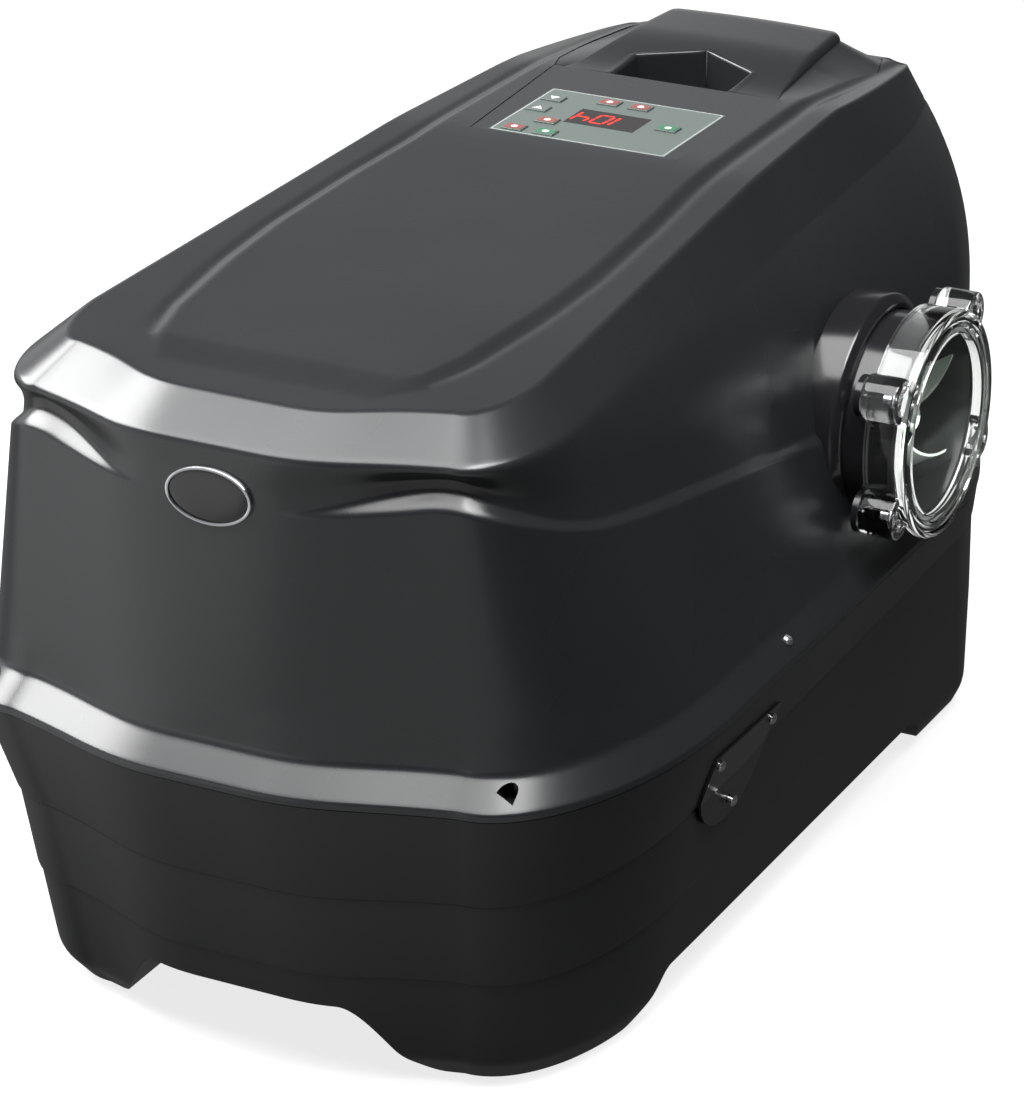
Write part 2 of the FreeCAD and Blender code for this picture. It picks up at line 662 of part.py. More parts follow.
def blower_post():
    """The pillar that carries the blower off the tray."""
    return box((BLOWER_X - 16.0, BLOWER_X + 16.0), (BLOWER_Y - 16.0, BLOWER_Y + 16.0),
               (FRONT_ARCH_Z + WALL + 0.2, BLOWER_Z[0] - 66.2))


def valve_bar(radius, y0, y1, dz=0.0):
    return rod(radius, V(OUTLET_X, y0, OUTLET_Z + dz), V(OUTLET_X, y1, OUTLET_Z + dz))


def check_valve_body():
    body = valve_bar(22.0, 400.0, 437.8).cut(valve_bar(18.5, 403.0, 434.0))
    return body.cut(valve_bar(12.0, 390.0, 440.0))


def check_valve_flap():
    pin_y, pin_z = 431.0, OUTLET_Z + 14.6
    pin = rod(1.6, V(OUTLET_X - 6.0, pin_y, pin_z), V(OUTLET_X + 6.0, pin_y, pin_z))
    return valve_bar(14.5, 430.0, 432.4, -1.0).fuse(pin)


def flow_switch_body():
    x, z = HEATER_X, HEATER_Z + 48.2
    body = rod(19.0, V(x, 377.5, z), V(x, 377.5, z + 32.0))
    return body.cut(rod(14.5, V(x, 377.5, z - 1.0), V(x, 377.5, z + 30.0)))


def flow_paddle():
    x, z = HEATER_X, HEATER_Z + 48.2
    pin = rod(1.6, V(x - 9.5, 386.0, z + 27.0), V(x + 9.5, 386.0, z + 27.0))
    blade = box((x - 7.0, x + 7.0), (385.2, 386.8), (z + 6.0, z + 27.0))
    return pin.fuse(blade)


POWER_BOX = ((-96.0, 96.0), (70.0, 150.0), (205.0, 305.0))


def power_case():
    outer = box(*POWER_BOX)
    inner = box((-93.0, 93.0), (73.0, 151.0), (208.0, 302.0))
    return outer.cut(inner)


def power_lid():
    return box(POWER_BOX[0], (150.2, 153.0), POWER_BOX[2])


def power_board():
    return box((-88.0, 88.0), (80.0, 81.6), (212.0, 298.0))


def transformer():
    core = box((-70.0, -20.0), (82.0, 122.0), (225.0, 275.0))
    return core.makeFillet(3.0, [e for e in core.Edges if abs(e.tangentAt(e.FirstParameter).y) > 0.9])


def terminal_block():
    body = box((10.0, 78.0), (82.0, 100.0), (230.0, 246.0))
    for k in range(6):
        x = 16.0 + 11.0 * k
        body = body.cut(rod(3.0, V(x, 92.0, 238.0), V(x, 101.0, 238.0)))
    return body


def power_bracket():
    """Two channel-shaped legs under the power case."""
    legs = []
    for x in (-70.0, 56.0):
        leg = box((x, x + 14.0), (74.0, 146.0), (FRONT_ARCH_Z + WALL + 0.2, 204.8))
        legs.append(leg.cut(box((x + 2.0, x + 20.0), (76.0, 144.0), (50.0, 202.0))))
    return Part.makeCompound(legs)


PLATE_SCREWS = ((162.0, 144.0), (228.0, 142.0), (195.0, 108.0))
PLATE_LEAN = V(1.0, 0.0, -0.27).normalize()


def plate_outline(grow=0.0):
    """The service plate: straight top and a round lower edge, as (y, z) points."""
    points = [(155.0 - grow, 150.0 + grow), (235.0 + grow, 148.0 + grow)]
    for k in range(13):
        turn = math.pi * k / 12
        points.append((195.0 + (40.0 + grow) * math.cos(turn), 132.0 - (36.0 + grow) * math.sin(turn)))
    return points


def service_plate():
    """A plate that follows the wall, 1.5 mm thick."""
    blank = side_prism(plate_outline(), 150.0, 230.0)
    skin = loft(tray_rings(-1.7)).cut(loft(tray_rings(-0.2)))
    plate = blank.common(skin)
    for y, z in PLATE_SCREWS:
        seat = V(wall_x(y, z), y, z)
        plate = plate.cut(rod(2.4, seat - PLATE_LEAN * 20.0, seat + PLATE_LEAN * 20.0))
    return plate


def wall_x(y, z):
    """Where the right wall of the tray is, at a height between the crease and the ledge."""
    low = CREASE_Z + CREASE_RISE * y / REAR_Y
    return 182.0 + (LEDGE_HALF_WIDTH - 1.0 - 182.0) * max(0.0, (z - low) / (PARTING_Z - low))


def dome_screw(head_r, head_h, centre, axis):
    """A round-head screw: a domed head, a cross slot and a short shank."""
    ball_r = (head_r ** 2 + head_h ** 2) / (2 * head_h)
    axis = V(axis).normalize()
    ball = Part.makeSphere(ball_r, centre + axis * (head_h - ball_r))
    head = ball.common(rod(head_r, centre, centre + axis * (head_h + 1.0)))
    return head.fuse(rod(head_r * 0.45, centre - axis * 6.0, centre + axis * 0.2))


def plate_screws():
    return Part.makeCompound([dome_screw(3.2, 1.8, V(wall_x(y, z), y, z) + PLATE_LEAN * 3.0, PLATE_LEAN)
                              for y, z in PLATE_SCREWS])


def housing_screws():
    """Two screws in the ledge pockets and two on the side ledges."""
    screws = []
    for side in (-1, 1):
        screws.append(dome_screw(3.6, 2.6, V(side * 146.0, 31.2, 181.0), V(0, -1, 0)))
        screws.append(dome_screw(3.2, 2.0, V(side * 193.7, 238.0, 182.3), V(side, 0, 1)))
    return Part.makeCompound(screws)


NODES = {
    "base_tray": base_tray,
    "foot_pads": foot_pads,
    "upper_housing": upper_housing,
    "rear_hood": rear_hood,
    "badge": badge,
    "housing_screws": housing_screws,
    "service_plate": service_plate,
    "service_plate_screws": plate_screws,
    "panel_case": panel_case,
    "panel_back": panel_back,
    "panel_label": panel_label,
    "display_window": display_window,
    "control_board": control_board,
    "pump_cover": pump_cover,
    "cover_o_ring": cover_o_ring,
    "cover_screws": cover_screws,
    "pump_neck": pump_neck,
    "pump_volute": pump_volute,
    "impeller": impeller,
    "pump_shaft": pump_shaft,
    "shaft_seal": shaft_seal,
    "motor_rotor": motor_rotor,
    "pump_motor": pump_motor,
    "motor_fan_cowl": motor_fan_cowl,
    "motor_bracket": motor_bracket,
    "heater_tube": heater_tube,
    "heater_cap_front": lambda: heater_cap(HEATER_Y[0] - 35.0, HEATER_Y[0] + 4.0, True),
    "heater_cap_rear": lambda: heater_cap(HEATER_Y[1] - 4.0, HEATER_Y[1] + 35.0),
    "heating_element": heating_element,
    "thermal_cutout": thermal_cutout,
    "heater_clips": heater_clips,
    "hose_pump_to_heater": hose_pump_to_heater,
    "flow_switch_body": flow_switch_body,
    "flow_paddle": flow_paddle,
    "blower_housing": blower_housing,
    "blower_fan": blower_fan,
    "blower_shaft": blower_shaft,
    "blower_motor": blower_motor,
    "blower_post": blower_post,
    "check_valve_body": check_valve_body,
    "check_valve_flap": check_valve_flap,
    "cable_gland": cable_gland,
    "power_case": power_case,
    "power_lid": power_lid,
    "power_board": power_board,
    "transformer": transformer,
    "terminal_block": terminal_block,
    "power_bracket": power_bracket,
}
for port in PORTS:
    NODES[port] = lambda name=port: port_tube(name)
NODES["port_nuts"] = lambda: Part.makeCompound([port_nut(name) for name in PORTS])
for key, (key_x, key_y) in BUTTONS.items():
    NODES[key] = lambda x=key_x, y=key_y: button(x, y)


def finish_node(name, shape):
    """Moves one sub-part to the model's origin and writes it."""
    shape = shape.copy()
    shape.translate(SHIFT)
    bounds = shape.BoundBox
    print(f"{name:22s} solids {len(shape.Solids)} valid {shape.isValid()} volume {shape.Volume / 1000:8.1f} "
          f"x {bounds.XMin:.1f} {bounds.XMax:.1f} y {bounds.YMin:.1f} {bounds.YMax:.1f} "
          f"z {bounds.ZMin:.1f} {bounds.ZMax:.1f}")
    shape.exportStep(f"parts/{name}.step")


os.makedirs("parts", exist_ok=True)
for node_name, make in NODES.items():
    finish_node(node_name, make())
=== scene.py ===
# %% [markdown]
# # A spa heater-and-pump unit, dressed for its picture
#
# The real object is a floor-standing moulded casing. A tray with four feet carries a tall upper
# housing, a control panel sits in the top, and a clear cover closes the pump on one side.
# The CAD frame already holds every part at its real size, so this lesson only adds looks:
# denser skins for the mouldings, small printed details, and a finish for every surface.

# %% Load the frame
import math

import bmesh
import bpy
import numpy as np
from mathutils import Matrix, Vector


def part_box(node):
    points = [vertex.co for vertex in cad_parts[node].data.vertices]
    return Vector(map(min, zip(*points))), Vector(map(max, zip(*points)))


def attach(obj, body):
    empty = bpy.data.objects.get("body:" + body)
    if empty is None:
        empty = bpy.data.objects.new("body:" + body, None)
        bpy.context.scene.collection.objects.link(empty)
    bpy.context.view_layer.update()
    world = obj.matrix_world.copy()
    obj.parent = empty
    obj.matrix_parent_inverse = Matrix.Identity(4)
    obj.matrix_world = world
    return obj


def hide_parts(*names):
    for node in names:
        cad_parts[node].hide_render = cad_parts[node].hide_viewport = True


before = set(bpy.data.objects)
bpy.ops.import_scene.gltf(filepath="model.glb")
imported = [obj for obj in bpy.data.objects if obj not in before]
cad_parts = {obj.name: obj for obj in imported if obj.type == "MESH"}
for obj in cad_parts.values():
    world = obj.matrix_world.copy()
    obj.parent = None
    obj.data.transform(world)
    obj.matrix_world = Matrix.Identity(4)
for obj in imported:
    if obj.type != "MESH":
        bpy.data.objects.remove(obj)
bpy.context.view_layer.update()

# %% [markdown]
# The mouldings are drawn in millimetres from three planes: the middle of the casing, the line of
# its front corners, and the bottom of its feet. Those planes are read from the frame, so nothing
# here is placed by eye.

# %% Drawing planes
MM = 0.001
housing_low, housing_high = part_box("upper_housing")
tray_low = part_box("base_tray")[0]
NOSE_BOW = 26.0
ORIGIN = np.array([(housing_low[0] + housing_high[0]) / 2,
                   housing_low[1] + NOSE_BOW * MM,
                   tray_low[2]])


def place(points):
    """Millimetres on the drawing planes to metres in the frame."""
    return np.asarray(points, float) * MM + ORIGIN


def spot(x, y, z):
    """One drawn point as a vector in the frame."""
    return Vector(place((x, y, z)))


def drawn_box(node):
    """A CAD node's box, in millimetres on the drawing planes."""
    low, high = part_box(node)
    return (np.array(low) - ORIGIN) / MM, (np.array(high) - ORIGIN) / MM


REAR_Y = drawn_box("upper_housing")[1][1]
print("casing length", round(REAR_Y + NOSE_BOW, 1), "mm")

# %% [markdown]
# Every surface below is a grid of points. Two helpers turn grids into meshes: one makes the
# object and smooths it up to an angle, so edges sharper than that stay crisp, and the other joins
# neighbouring rows of a grid with four-sided faces, which bend light more evenly than triangles.

# %% Mesh helpers
CRISP = math.radians(38)


def solid(name, verts, faces, body="housing", merge=0.0, crisp=CRISP):
    """A named mesh piece from points in millimetres, riding on a body."""
    mesh = bpy.data.meshes.new(name)
    mesh.from_pydata(place(verts).tolist(), [], [tuple(int(i) for i in f) for f in faces])
    work = bmesh.new()
    work.from_mesh(mesh)
    if merge:
        bmesh.ops.remove_doubles(work, verts=work.verts, dist=merge * MM)
    bmesh.ops.dissolve_degenerate(work, dist=1e-6, edges=work.edges)
    bmesh.ops.recalc_face_normals(work, faces=work.faces)
    work.to_mesh(mesh)
    work.free()
    piece = bpy.data.objects.new(name, mesh)
    bpy.context.scene.collection.objects.link(piece)
    soften(piece, crisp)
    if body:
        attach(piece, body)
    return piece


def soften(piece, crisp=CRISP):
    """Smooth shading, with edges sharper than an angle kept crisp."""
    piece.data.polygons.foreach_set("use_smooth", [True] * len(piece.data.polygons))
    piece.data.set_sharp_from_angle(angle=crisp)


def grid_faces(rows, columns, loop):
    """Four-sided faces between the rows of a grid; loop closes each row on itself."""
    faces = []
    last = columns if loop else columns - 1
    for r in range(rows - 1):
        for c in range(last):
            a, b = r * columns + c, r * columns + (c + 1) % columns
            faces.append((a, b, b + columns, a + columns))
    return faces


def combine(piece, operation, others):
    """Adds one boolean step to a piece for each other mesh."""
    for other in others:
        step = piece.modifiers.new(operation.lower(), "BOOLEAN")
        step.operation = operation
        step.solver = "EXACT"
        step.object = other


def carve(piece, *cutters):
    """Cuts other meshes out of a piece, and throws the cutters away."""
    combine(piece, "DIFFERENCE", cutters)
    bpy.context.view_layer.update()
    graph = bpy.context.evaluated_depsgraph_get()
    carved = bpy.data.meshes.new_from_object(piece.evaluated_get(graph))
    piece.modifiers.clear()
    old = piece.data
    piece.data = carved
    bpy.data.meshes.remove(old)
    carved.name = piece.name
    for cutter in cutters:
        bpy.data.objects.remove(cutter)
    soften(piece)
    return piece


def block_faces(n):
    """Two ends of n points each, and the sides between them."""
    ends = [tuple(range(n)), tuple(range(n, 2 * n))]
    return ends + [(i, (i + 1) % n, n + (i + 1) % n, n + i) for i in range(n)]


def prism(name, outline, z0, z1):
    """A cutter: a flat outline of (x, y) points, pulled up from z0 to z1."""
    verts = [(x, y, z) for z in (z0, z1) for x, y in outline]
    return solid(name, verts, block_faces(len(outline)), body=None)


def turned(name, profile, centre, along, body="housing", steps=96):
    """A round piece: a closed profile of (distance along, radius) points, turned on an axis."""
    along = Vector(along).normalized()
    side = along.orthogonal().normalized()
    up = along.cross(side)
    verts = []
    for k in range(steps):
        turn = 2 * math.pi * k / steps
        out = side * math.cos(turn) + up * math.sin(turn)
        verts += [Vector(centre) + along * a + out * r for a, r in profile]
    n = len(profile)
    faces = []
    for k in range(steps):
        here, ahead = k * n, (k + 1) % steps * n
        faces += [(here + i, here + (i + 1) % n, ahead + (i + 1) % n, ahead + i) for i in range(n)]
    return solid(name, [tuple(v) for v in verts], faces, body=body, merge=0.001)


def mirrored(half):
    """Half an outline and its mirror image, as one loop."""
    return half + [(-x, y) for x, y in reversed(half)]


print("edges sharper than", round(math.degrees(CRISP)), "degrees stay crisp")

# %% [markdown]
# Seen from above, the casing is one outline at every height: a bowed nose with two creases, a
# round corner, a long flank and a tail that curves in. Only a few numbers change from level to
# level. So one function draws half of it, and a level is that outline at a height.

# %% The casing's outline
NOSE_STEPS, FACET_STEPS, BEND_STEPS, FLANK_STEPS, TAIL_STEPS, BACK_STEPS = 5, 22, 44, 46, 44, 10
NOSE_FLAT = 24.0
KAPPA = 0.5523             # makes a cubic curve follow a quarter of an ellipse


def cubic(a, b, c, d, steps):
    """Points along a cubic curve, after its first one."""
    t = np.linspace(0, 1, steps + 1)[1:, None]
    a, b, c, d = (np.array(p, float) for p in (a, b, c, d))
    return a * (1 - t) ** 3 + 3 * b * t * (1 - t) ** 2 + 3 * c * t ** 2 * (1 - t) + d * t ** 3


def straight(a, b, steps):
    """Points along a line, after its first one."""
    t = np.linspace(0, 1, steps + 1)[1:, None]
    return np.array(a, float) * (1 - t) + np.array(b, float) * t


def outline(corner, side, tail, end, inset=0.0):
    """Half of a level, as (x, y) rows from the middle of the nose to the middle of the rear."""
    cx, cy = corner[0] - 0.6 * inset, corner[1] + inset
    sx, tx = side[0] - inset, tail[0] - inset
    ex, ey = end[0] - 0.6 * inset, end[1] - inset
    reach = ey - tail[1]
    nose_y = cy - NOSE_BOW
    return np.vstack([
        [[0.0, nose_y]],
        straight((0, nose_y), (NOSE_FLAT, nose_y), NOSE_STEPS),
        cubic((NOSE_FLAT, nose_y), (NOSE_FLAT + 38.0, nose_y), (cx - 45.0, cy - 11.5), (cx, cy),
              FACET_STEPS),
        cubic((cx, cy), (cx + KAPPA * (sx - cx), cy), (sx, side[1] - KAPPA * (side[1] - cy)), (sx, side[1]),
              BEND_STEPS),
        straight((sx, side[1]), (tx, tail[1]), FLANK_STEPS),
        cubic((tx, tail[1]), (tx, tail[1] + 0.32 * reach),
              (ex + 0.42 * (tx - ex), ey - 0.04 * reach), (ex, ey), TAIL_STEPS),
        straight((ex, ey), (0, ey), BACK_STEPS)])


def level(plan, z, slope=0.0):
    """A level in space: z may rise towards the rear, or be a function of y."""
    height = z(plan[:, 1]) if callable(z) else z + slope * plan[:, 1]
    return np.column_stack([plan, np.broadcast_to(height, len(plan))])


def ledge_plan(step=0.0, inset=0.0):
    """The outline of the ledge, which is the widest level of the housing."""
    return outline((126.3 - 0.25 * step, step), (200.0 - 0.7 * step, 156.0),
                   (198.0 - 0.45 * step, 470.0), (96.0, REAR_Y - 0.4 * step), inset)


print("points round half a level:", len(ledge_plan()))

# %% [markdown]
# A wall joins two levels with straight lines, and where two walls meet the moulding has a small
# radius. The next helper walks up one column of levels and swaps each corner for a short curve,
# which is what catches a thin line of light along every crease.

# %% Walls with rounded corners
FILLET_STEPS = 5


def climb(levels, radii, steps, shares=None):
    """Rows of points up through the levels, with each inner level rounded to a radius."""
    levels = [np.asarray(p, float) for p in levels]
    starts, ends, arcs = [], [], {}
    for k, here in enumerate(levels):
        if k in (0, len(levels) - 1) or not radii[k]:
            starts.append(here)
            ends.append(here)
            continue
        back, ahead = levels[k - 1] - here, levels[k + 1] - here
        back_length = np.linalg.norm(back, axis=1, keepdims=True)
        ahead_length = np.linalg.norm(ahead, axis=1, keepdims=True)
        before = here + back * np.minimum(radii[k] / back_length, 0.45)
        after = here + ahead * np.minimum(radii[k] / ahead_length, 0.45)
        ends.append(before)
        starts.append(after)
        t = np.linspace(0, 1, FILLET_STEPS + 1)[1:-1]
        arcs[k] = [before * (1 - s) ** 2 + 2 * here * s * (1 - s) + after * s * s for s in t]
    rows = [levels[0]]
    for k in range(len(levels) - 1):
        low, high = starts[k], ends[k + 1]
        share = (shares or {}).get(k)
        if share is None:
            share = [np.full(len(low), s) for s in np.linspace(0, 1, steps[k] + 1)[1:]]
        rows += [low + (high - low) * s[:, None] for s in share]
        if k + 1 in arcs:
            rows += arcs[k + 1] + [starts[k + 1]]
    return rows


def whole(rows):
    """Mirrors rows of half-levels into closed loops."""
    rows = np.array(rows)
    left = rows[:, -2:0:-1] * np.array([-1.0, 1.0, 1.0])
    return np.concatenate([rows, left], axis=1)


def smoothstep(value, low, high):
    """0 below low, 1 above high, and an even S between."""
    t = np.clip((value - low) / (high - low), 0, 1)
    return t * t * (3 - 2 * t)


print("a rounded corner has", FILLET_STEPS, "steps")

# %% [markdown]
# ## Upper housing
#
# From the joint with the tray upwards: a short lip, a ledge that slopes at 45 degrees, a tall
# wall, a chamfer that runs round the top, and the top itself, which climbs to the control panel
# and falls behind it. The middle of the top is a raised field. A low swoosh-shaped ledge crosses
# the wall from the nose to the pump. The wall is thin, so the same rows are drawn again three
# millimetres further in, and the two skins are joined at the joint line.

# %% Heights of the top
PARTING_Z, LEDGE_Z, LEDGE_TOP_Z, LEDGE_STEP = 171.0, 174.5, 189.0, 14.4
SHOULDER_Z, WALL = 346.0, 3.0
TOP_LINE_Y = (-20.0, 42.4, 376.0, 500.0, 640.0)
TOP_LINE_Z = (361.5, 364.4, 380.0, 380.0, 366.0)
EDGE_DROP = 1.6            # the rim of the top is this much lower than its middle
FIELD_RISE = 1.9
PANEL_FRONT_Y = 376.0
FIELD_Y = (46.0, 62.0, 98.0, 160.0, 215.0, 288.0, 350.0, 420.0, 500.0, 560.0)
FIELD_X = (60.0, 71.0, 80.0, 87.0, 89.0, 86.0, 81.0, 80.0, 79.0, 80.0)


def top_line(y):
    """The top's profile in the middle plane, eased at its bends."""
    reach = np.linspace(-14, 14, 9)
    return np.mean([np.interp(y + d, TOP_LINE_Y, TOP_LINE_Z) for d in reach], axis=0)


def top_height(x, y):
    """Height of the top: the rim, the raised field and the groove round it."""
    inside = np.interp(y, FIELD_Y, FIELD_X) - np.abs(x)
    raised = smoothstep(inside, -5.0, 1.0) * smoothstep(y, 38.0, 66.0)
    groove = 0.7 * np.exp(-((inside + 7.0) / 3.0) ** 2) * smoothstep(y, 60.0, 90.0)
    return top_line(y) - EDGE_DROP + FIELD_RISE * raised - groove


print("the top is", round(float(top_line(PANEL_FRONT_Y)), 1), "mm high at the panel")

# %% [markdown]
# Each level of the wall is four places: the front corner, where the flank starts, where it ends,
# and the rear corner. The wall isn't quite flat between the ledge and the shoulder, so a fifth
# level, the wall's break, says how much fuller it is.

# %% Levels of the wall
WALL_BREAK = ((116.8, 14.8), (159.6, 100.8), (158.0, 530.0), (112.0, 635.0))
WALL_BREAK_Z = 300.0
SHOULDER = ((114.3, 15.0), (147.0, 78.0), (121.0, 520.0), (98.0, 634.0))
TOP_EDGE = ((104.0, 42.4), (126.0, 92.0), (102.0, 500.0), (88.0, 632.0))
SWOOSH_Y = (-14.0, 14.0, 90.0, 242.0, 326.0, 362.0, 700.0)
SWOOSH_Z = (316.0, 328.0, 307.0, 274.0, 257.0, 253.0, 250.0)


def swoosh(points):
    """Height of the swoosh and its depth at each point of a level."""
    x, y = np.abs(points[:, 0]), points[:, 1]
    height = np.interp(y, SWOOSH_Y, SWOOSH_Z)
    on_nose = smoothstep(x, 34.0, 114.0)
    depth = on_nose * (7.5 - 4.5 * smoothstep(y, 10.0, 110.0)) * (1 - smoothstep(y, 330.0, 372.0))
    return height, depth


print("the swoosh falls from", max(SWOOSH_Z), "to", min(SWOOSH_Z), "mm")

# %% [markdown]
# The skin is made row by row. The rows of the wall are pulled out to the break, eased along their
# length so that the corners turn softly, and then pushed in above the swoosh.

# %% Housing skins


def eased(row, reach):
    """A row with its bends spread over a few neighbouring columns."""
    flip = np.array([-1.0, 1.0, 1.0])
    padded = np.vstack([row[reach:0:-1] * flip, row, row[-2:-reach - 2:-1] * flip])
    bell = np.hanning(2 * reach + 3)[1:-1]
    bell /= bell.sum()
    return np.column_stack([np.convolve(padded[:, axis], bell, "valid") for axis in range(3)])


def inward(points):
    """Unit vectors that point into the casing, across a level."""
    run = np.gradient(points[:, :2], axis=0)
    run /= np.linalg.norm(run, axis=1, keepdims=True)
    return np.column_stack([-run[:, 1], run[:, 0], np.zeros(len(run))])


def top_rows(edge, count, drop=0.0):
    """Rows from the rim of the top to its middle line."""
    spine = np.column_stack([np.zeros(len(edge)), np.clip(edge[:, 1], 130.0, 560.0)])
    rows = []
    for s in np.linspace(0, 1, count + 1)[1:]:
        plan = edge[:, :2] * (1 - s) + spine * s
        rows.append(np.column_stack([plan, top_height(plan[:, 0], plan[:, 1]) - drop]))
    return rows


def housing_skin(inset):
    """One skin of the housing, from the joint line to the middle of the top."""
    rim = level(ledge_plan(LEDGE_STEP if inset else 0.0, inset), PARTING_Z)
    lip = level(ledge_plan(LEDGE_STEP if inset else 0.0, inset), LEDGE_Z)
    ledge = level(ledge_plan(LEDGE_STEP, inset), LEDGE_TOP_Z)
    shoulder = level(outline(*SHOULDER, inset), SHOULDER_Z)
    edge_plan = outline(*TOP_EDGE, inset)
    edge = level(edge_plan, lambda y: top_line(y) - EDGE_DROP - inset)
    swoosh_z, depth = swoosh(ledge)
    middle = np.clip((swoosh_z - LEDGE_TOP_Z) / (SHOULDER_Z - LEDGE_TOP_Z), 0.02, 0.97)
    below, above = middle - 0.038, np.minimum(middle + 0.038, 0.98)
    share = [below * s for s in np.linspace(0, 1, 20)[1:]]
    share += [below + (above - below) * s for s in np.linspace(0, 1, 14)[1:]]
    share += [above + (1 - above) * s for s in np.linspace(0, 1, 16)[1:]]
    rows = climb([rim, lip, ledge, shoulder, edge], [0, 1.2, 2.5, 3.0, 0], [2, 10, 0, 14],
                 {2: share})
    break_at = (WALL_BREAK_Z - LEDGE_TOP_Z) / (SHOULDER_Z - LEDGE_TOP_Z)
    fuller = outline(*WALL_BREAK, inset) - (ledge + (shoulder - ledge) * break_at)[:, :2]
    for row in rows:
        climbed = np.clip((row[:, 2] - LEDGE_TOP_Z) / (SHOULDER_Z - LEDGE_TOP_Z), 0, 1)
        row[:, :2] += fuller * (climbed ** 2 * (1 - climbed) / (break_at ** 2 * (1 - break_at)))[:, None]
    pull = inward(ledge)
    tall = 1.5 + 0.5 * depth
    for k, row in enumerate(rows):
        soft = smoothstep(row[:, 2], LEDGE_TOP_Z + 2.0, LEDGE_TOP_Z + 26.0)
        soft = soft * (1 - smoothstep(row[:, 2], SHOULDER_Z - 22.0, SHOULDER_Z - 3.0))
        row = row + (eased(row, 9) - row) * soft[:, None]
        rise = smoothstep(row[:, 2], swoosh_z - tall, swoosh_z + tall)
        fade = 1 - smoothstep(row[:, 2], swoosh_z + 9.0, SHOULDER_Z - 2.0)
        rows[k] = row + pull * (depth * rise * fade)[:, None]
    corner = rows[-1]
    over = top_rows(edge, 58, inset)
    before, after = rows[-2], over[0]
    start = corner + (before - corner) * 0.9
    finish = corner + (after - corner) * 0.9
    rows = rows[:-1] + [start * (1 - s) ** 2 + 2 * corner * s * (1 - s) + finish * s * s
                        for s in np.linspace(0, 1, FILLET_STEPS + 1)]
    return rows + over


outer_rows = housing_skin(0.0)
inner_rows = housing_skin(WALL)
housing_grid = whole(outer_rows[::-1] + inner_rows)
row_count, column_count = housing_grid.shape[:2]
housing = solid("upper_housing_skin", housing_grid.reshape(-1, 3),
                grid_faces(row_count, column_count, True), merge=0.01)
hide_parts("upper_housing")
print("housing mesh", len(housing.data.vertices), "points")

# %% [markdown]
# Four things pass through the housing: the panel, the hood, the neck of the pump and the two front
# screws. Each gets a cutter of its own outline, half a millimetre larger where the piece is loose.

# %% Openings of the housing
GAP = 0.5
PANEL_HALF = (62.0, 71.0)
PANEL_Y = (PANEL_FRONT_Y, 496.0)
CUT_Z = (340.0, 400.0)
HOOD_FOOT = ((496.0, 71.0), (512.0, 76.0), (600.0, 84.0), (626.0, 76.0))
HOOD_CREST = ((496.0, 67.0), (514.0, 63.0), (612.0, 55.0), (626.0, 48.0))


def half_width(stations, y):
    """Half the hood's width at a station along its length."""
    return float(np.interp(y, *zip(*stations)))


cover_low, cover_high = drawn_box("pump_cover")
neck_low, neck_high = drawn_box("pump_neck")
PUMP_Y = float((neck_low[1] + neck_high[1]) / 2)
PUMP_Z = 251.0
NECK_R = 57.0
SCREW_X, SCREW_Y, SCREW_Z = 146.0, 29.0, 182.0
POCKET_HALF, POCKET_LOW_Z = 4.5, 176.0


def pocket(side):
    """The arch-shaped recess of one housing screw."""
    arch = [(-POCKET_HALF, POCKET_LOW_Z), (POCKET_HALF, POCKET_LOW_Z)]
    arch += [(POCKET_HALF * math.cos(a), SCREW_Z + POCKET_HALF * math.sin(a))
             for a in np.linspace(0, math.pi, 13)]
    verts = [(side * SCREW_X + x, SCREW_Y + dy, z) for dy in (-16.0, 2.0) for x, z in arch]
    return solid("pocket_cutter", verts, block_faces(len(arch)), body=None)


neck_cutter = turned("neck_cutter", [(0, 0), (0, NECK_R + 0.4), (130, NECK_R + 0.4), (130, 0)],
                     (100.0, PUMP_Y, PUMP_Z), (1, 0, 0), body=None)
panel_plan = mirrored(list(zip(PANEL_HALF, PANEL_Y)))
hood_plan = mirrored([(half, y) for y, half in HOOD_FOOT])
carve(housing, prism("panel_cutter", panel_plan, *CUT_Z), prism("hood_cutter", hood_plan, *CUT_Z),
      neck_cutter, pocket(1), pocket(-1))
print("after carving", len(housing.data.vertices), "points")

# %% [markdown]
# ## Base tray
#
# The tray is drawn the same way, from the chamfer under its feet up to the joint. Halfway up, the
# wall changes slope along a crease with a small lip, and a second, shorter lip wraps the front
# feet. The arches between the feet are tunnels, so they are carved: first from the outside, then
# from the inside with a cutter that is one wall thickness bigger.

# %% Tray skins
CREASE_Z, CREASE_SLOPE = 113.0, 30.0 / 637.0
LIP = 1.3
FEET = ((105.0, 49.0), (158.0, 150.0), (157.0, 566.0), (112.0, 627.0))
CHAMFER = ((110.0, 38.0), (166.0, 150.0), (165.0, 556.0), (116.0, 633.0))
CREASE = ((119.0, 18.5), (182.0, 154.0), (184.0, 500.0), (110.0, 636.0))
SHORT_LIP_Z = 64.0


def between(a, b, share):
    """A point or level part of the way from a to b."""
    return a + (b - a) * share


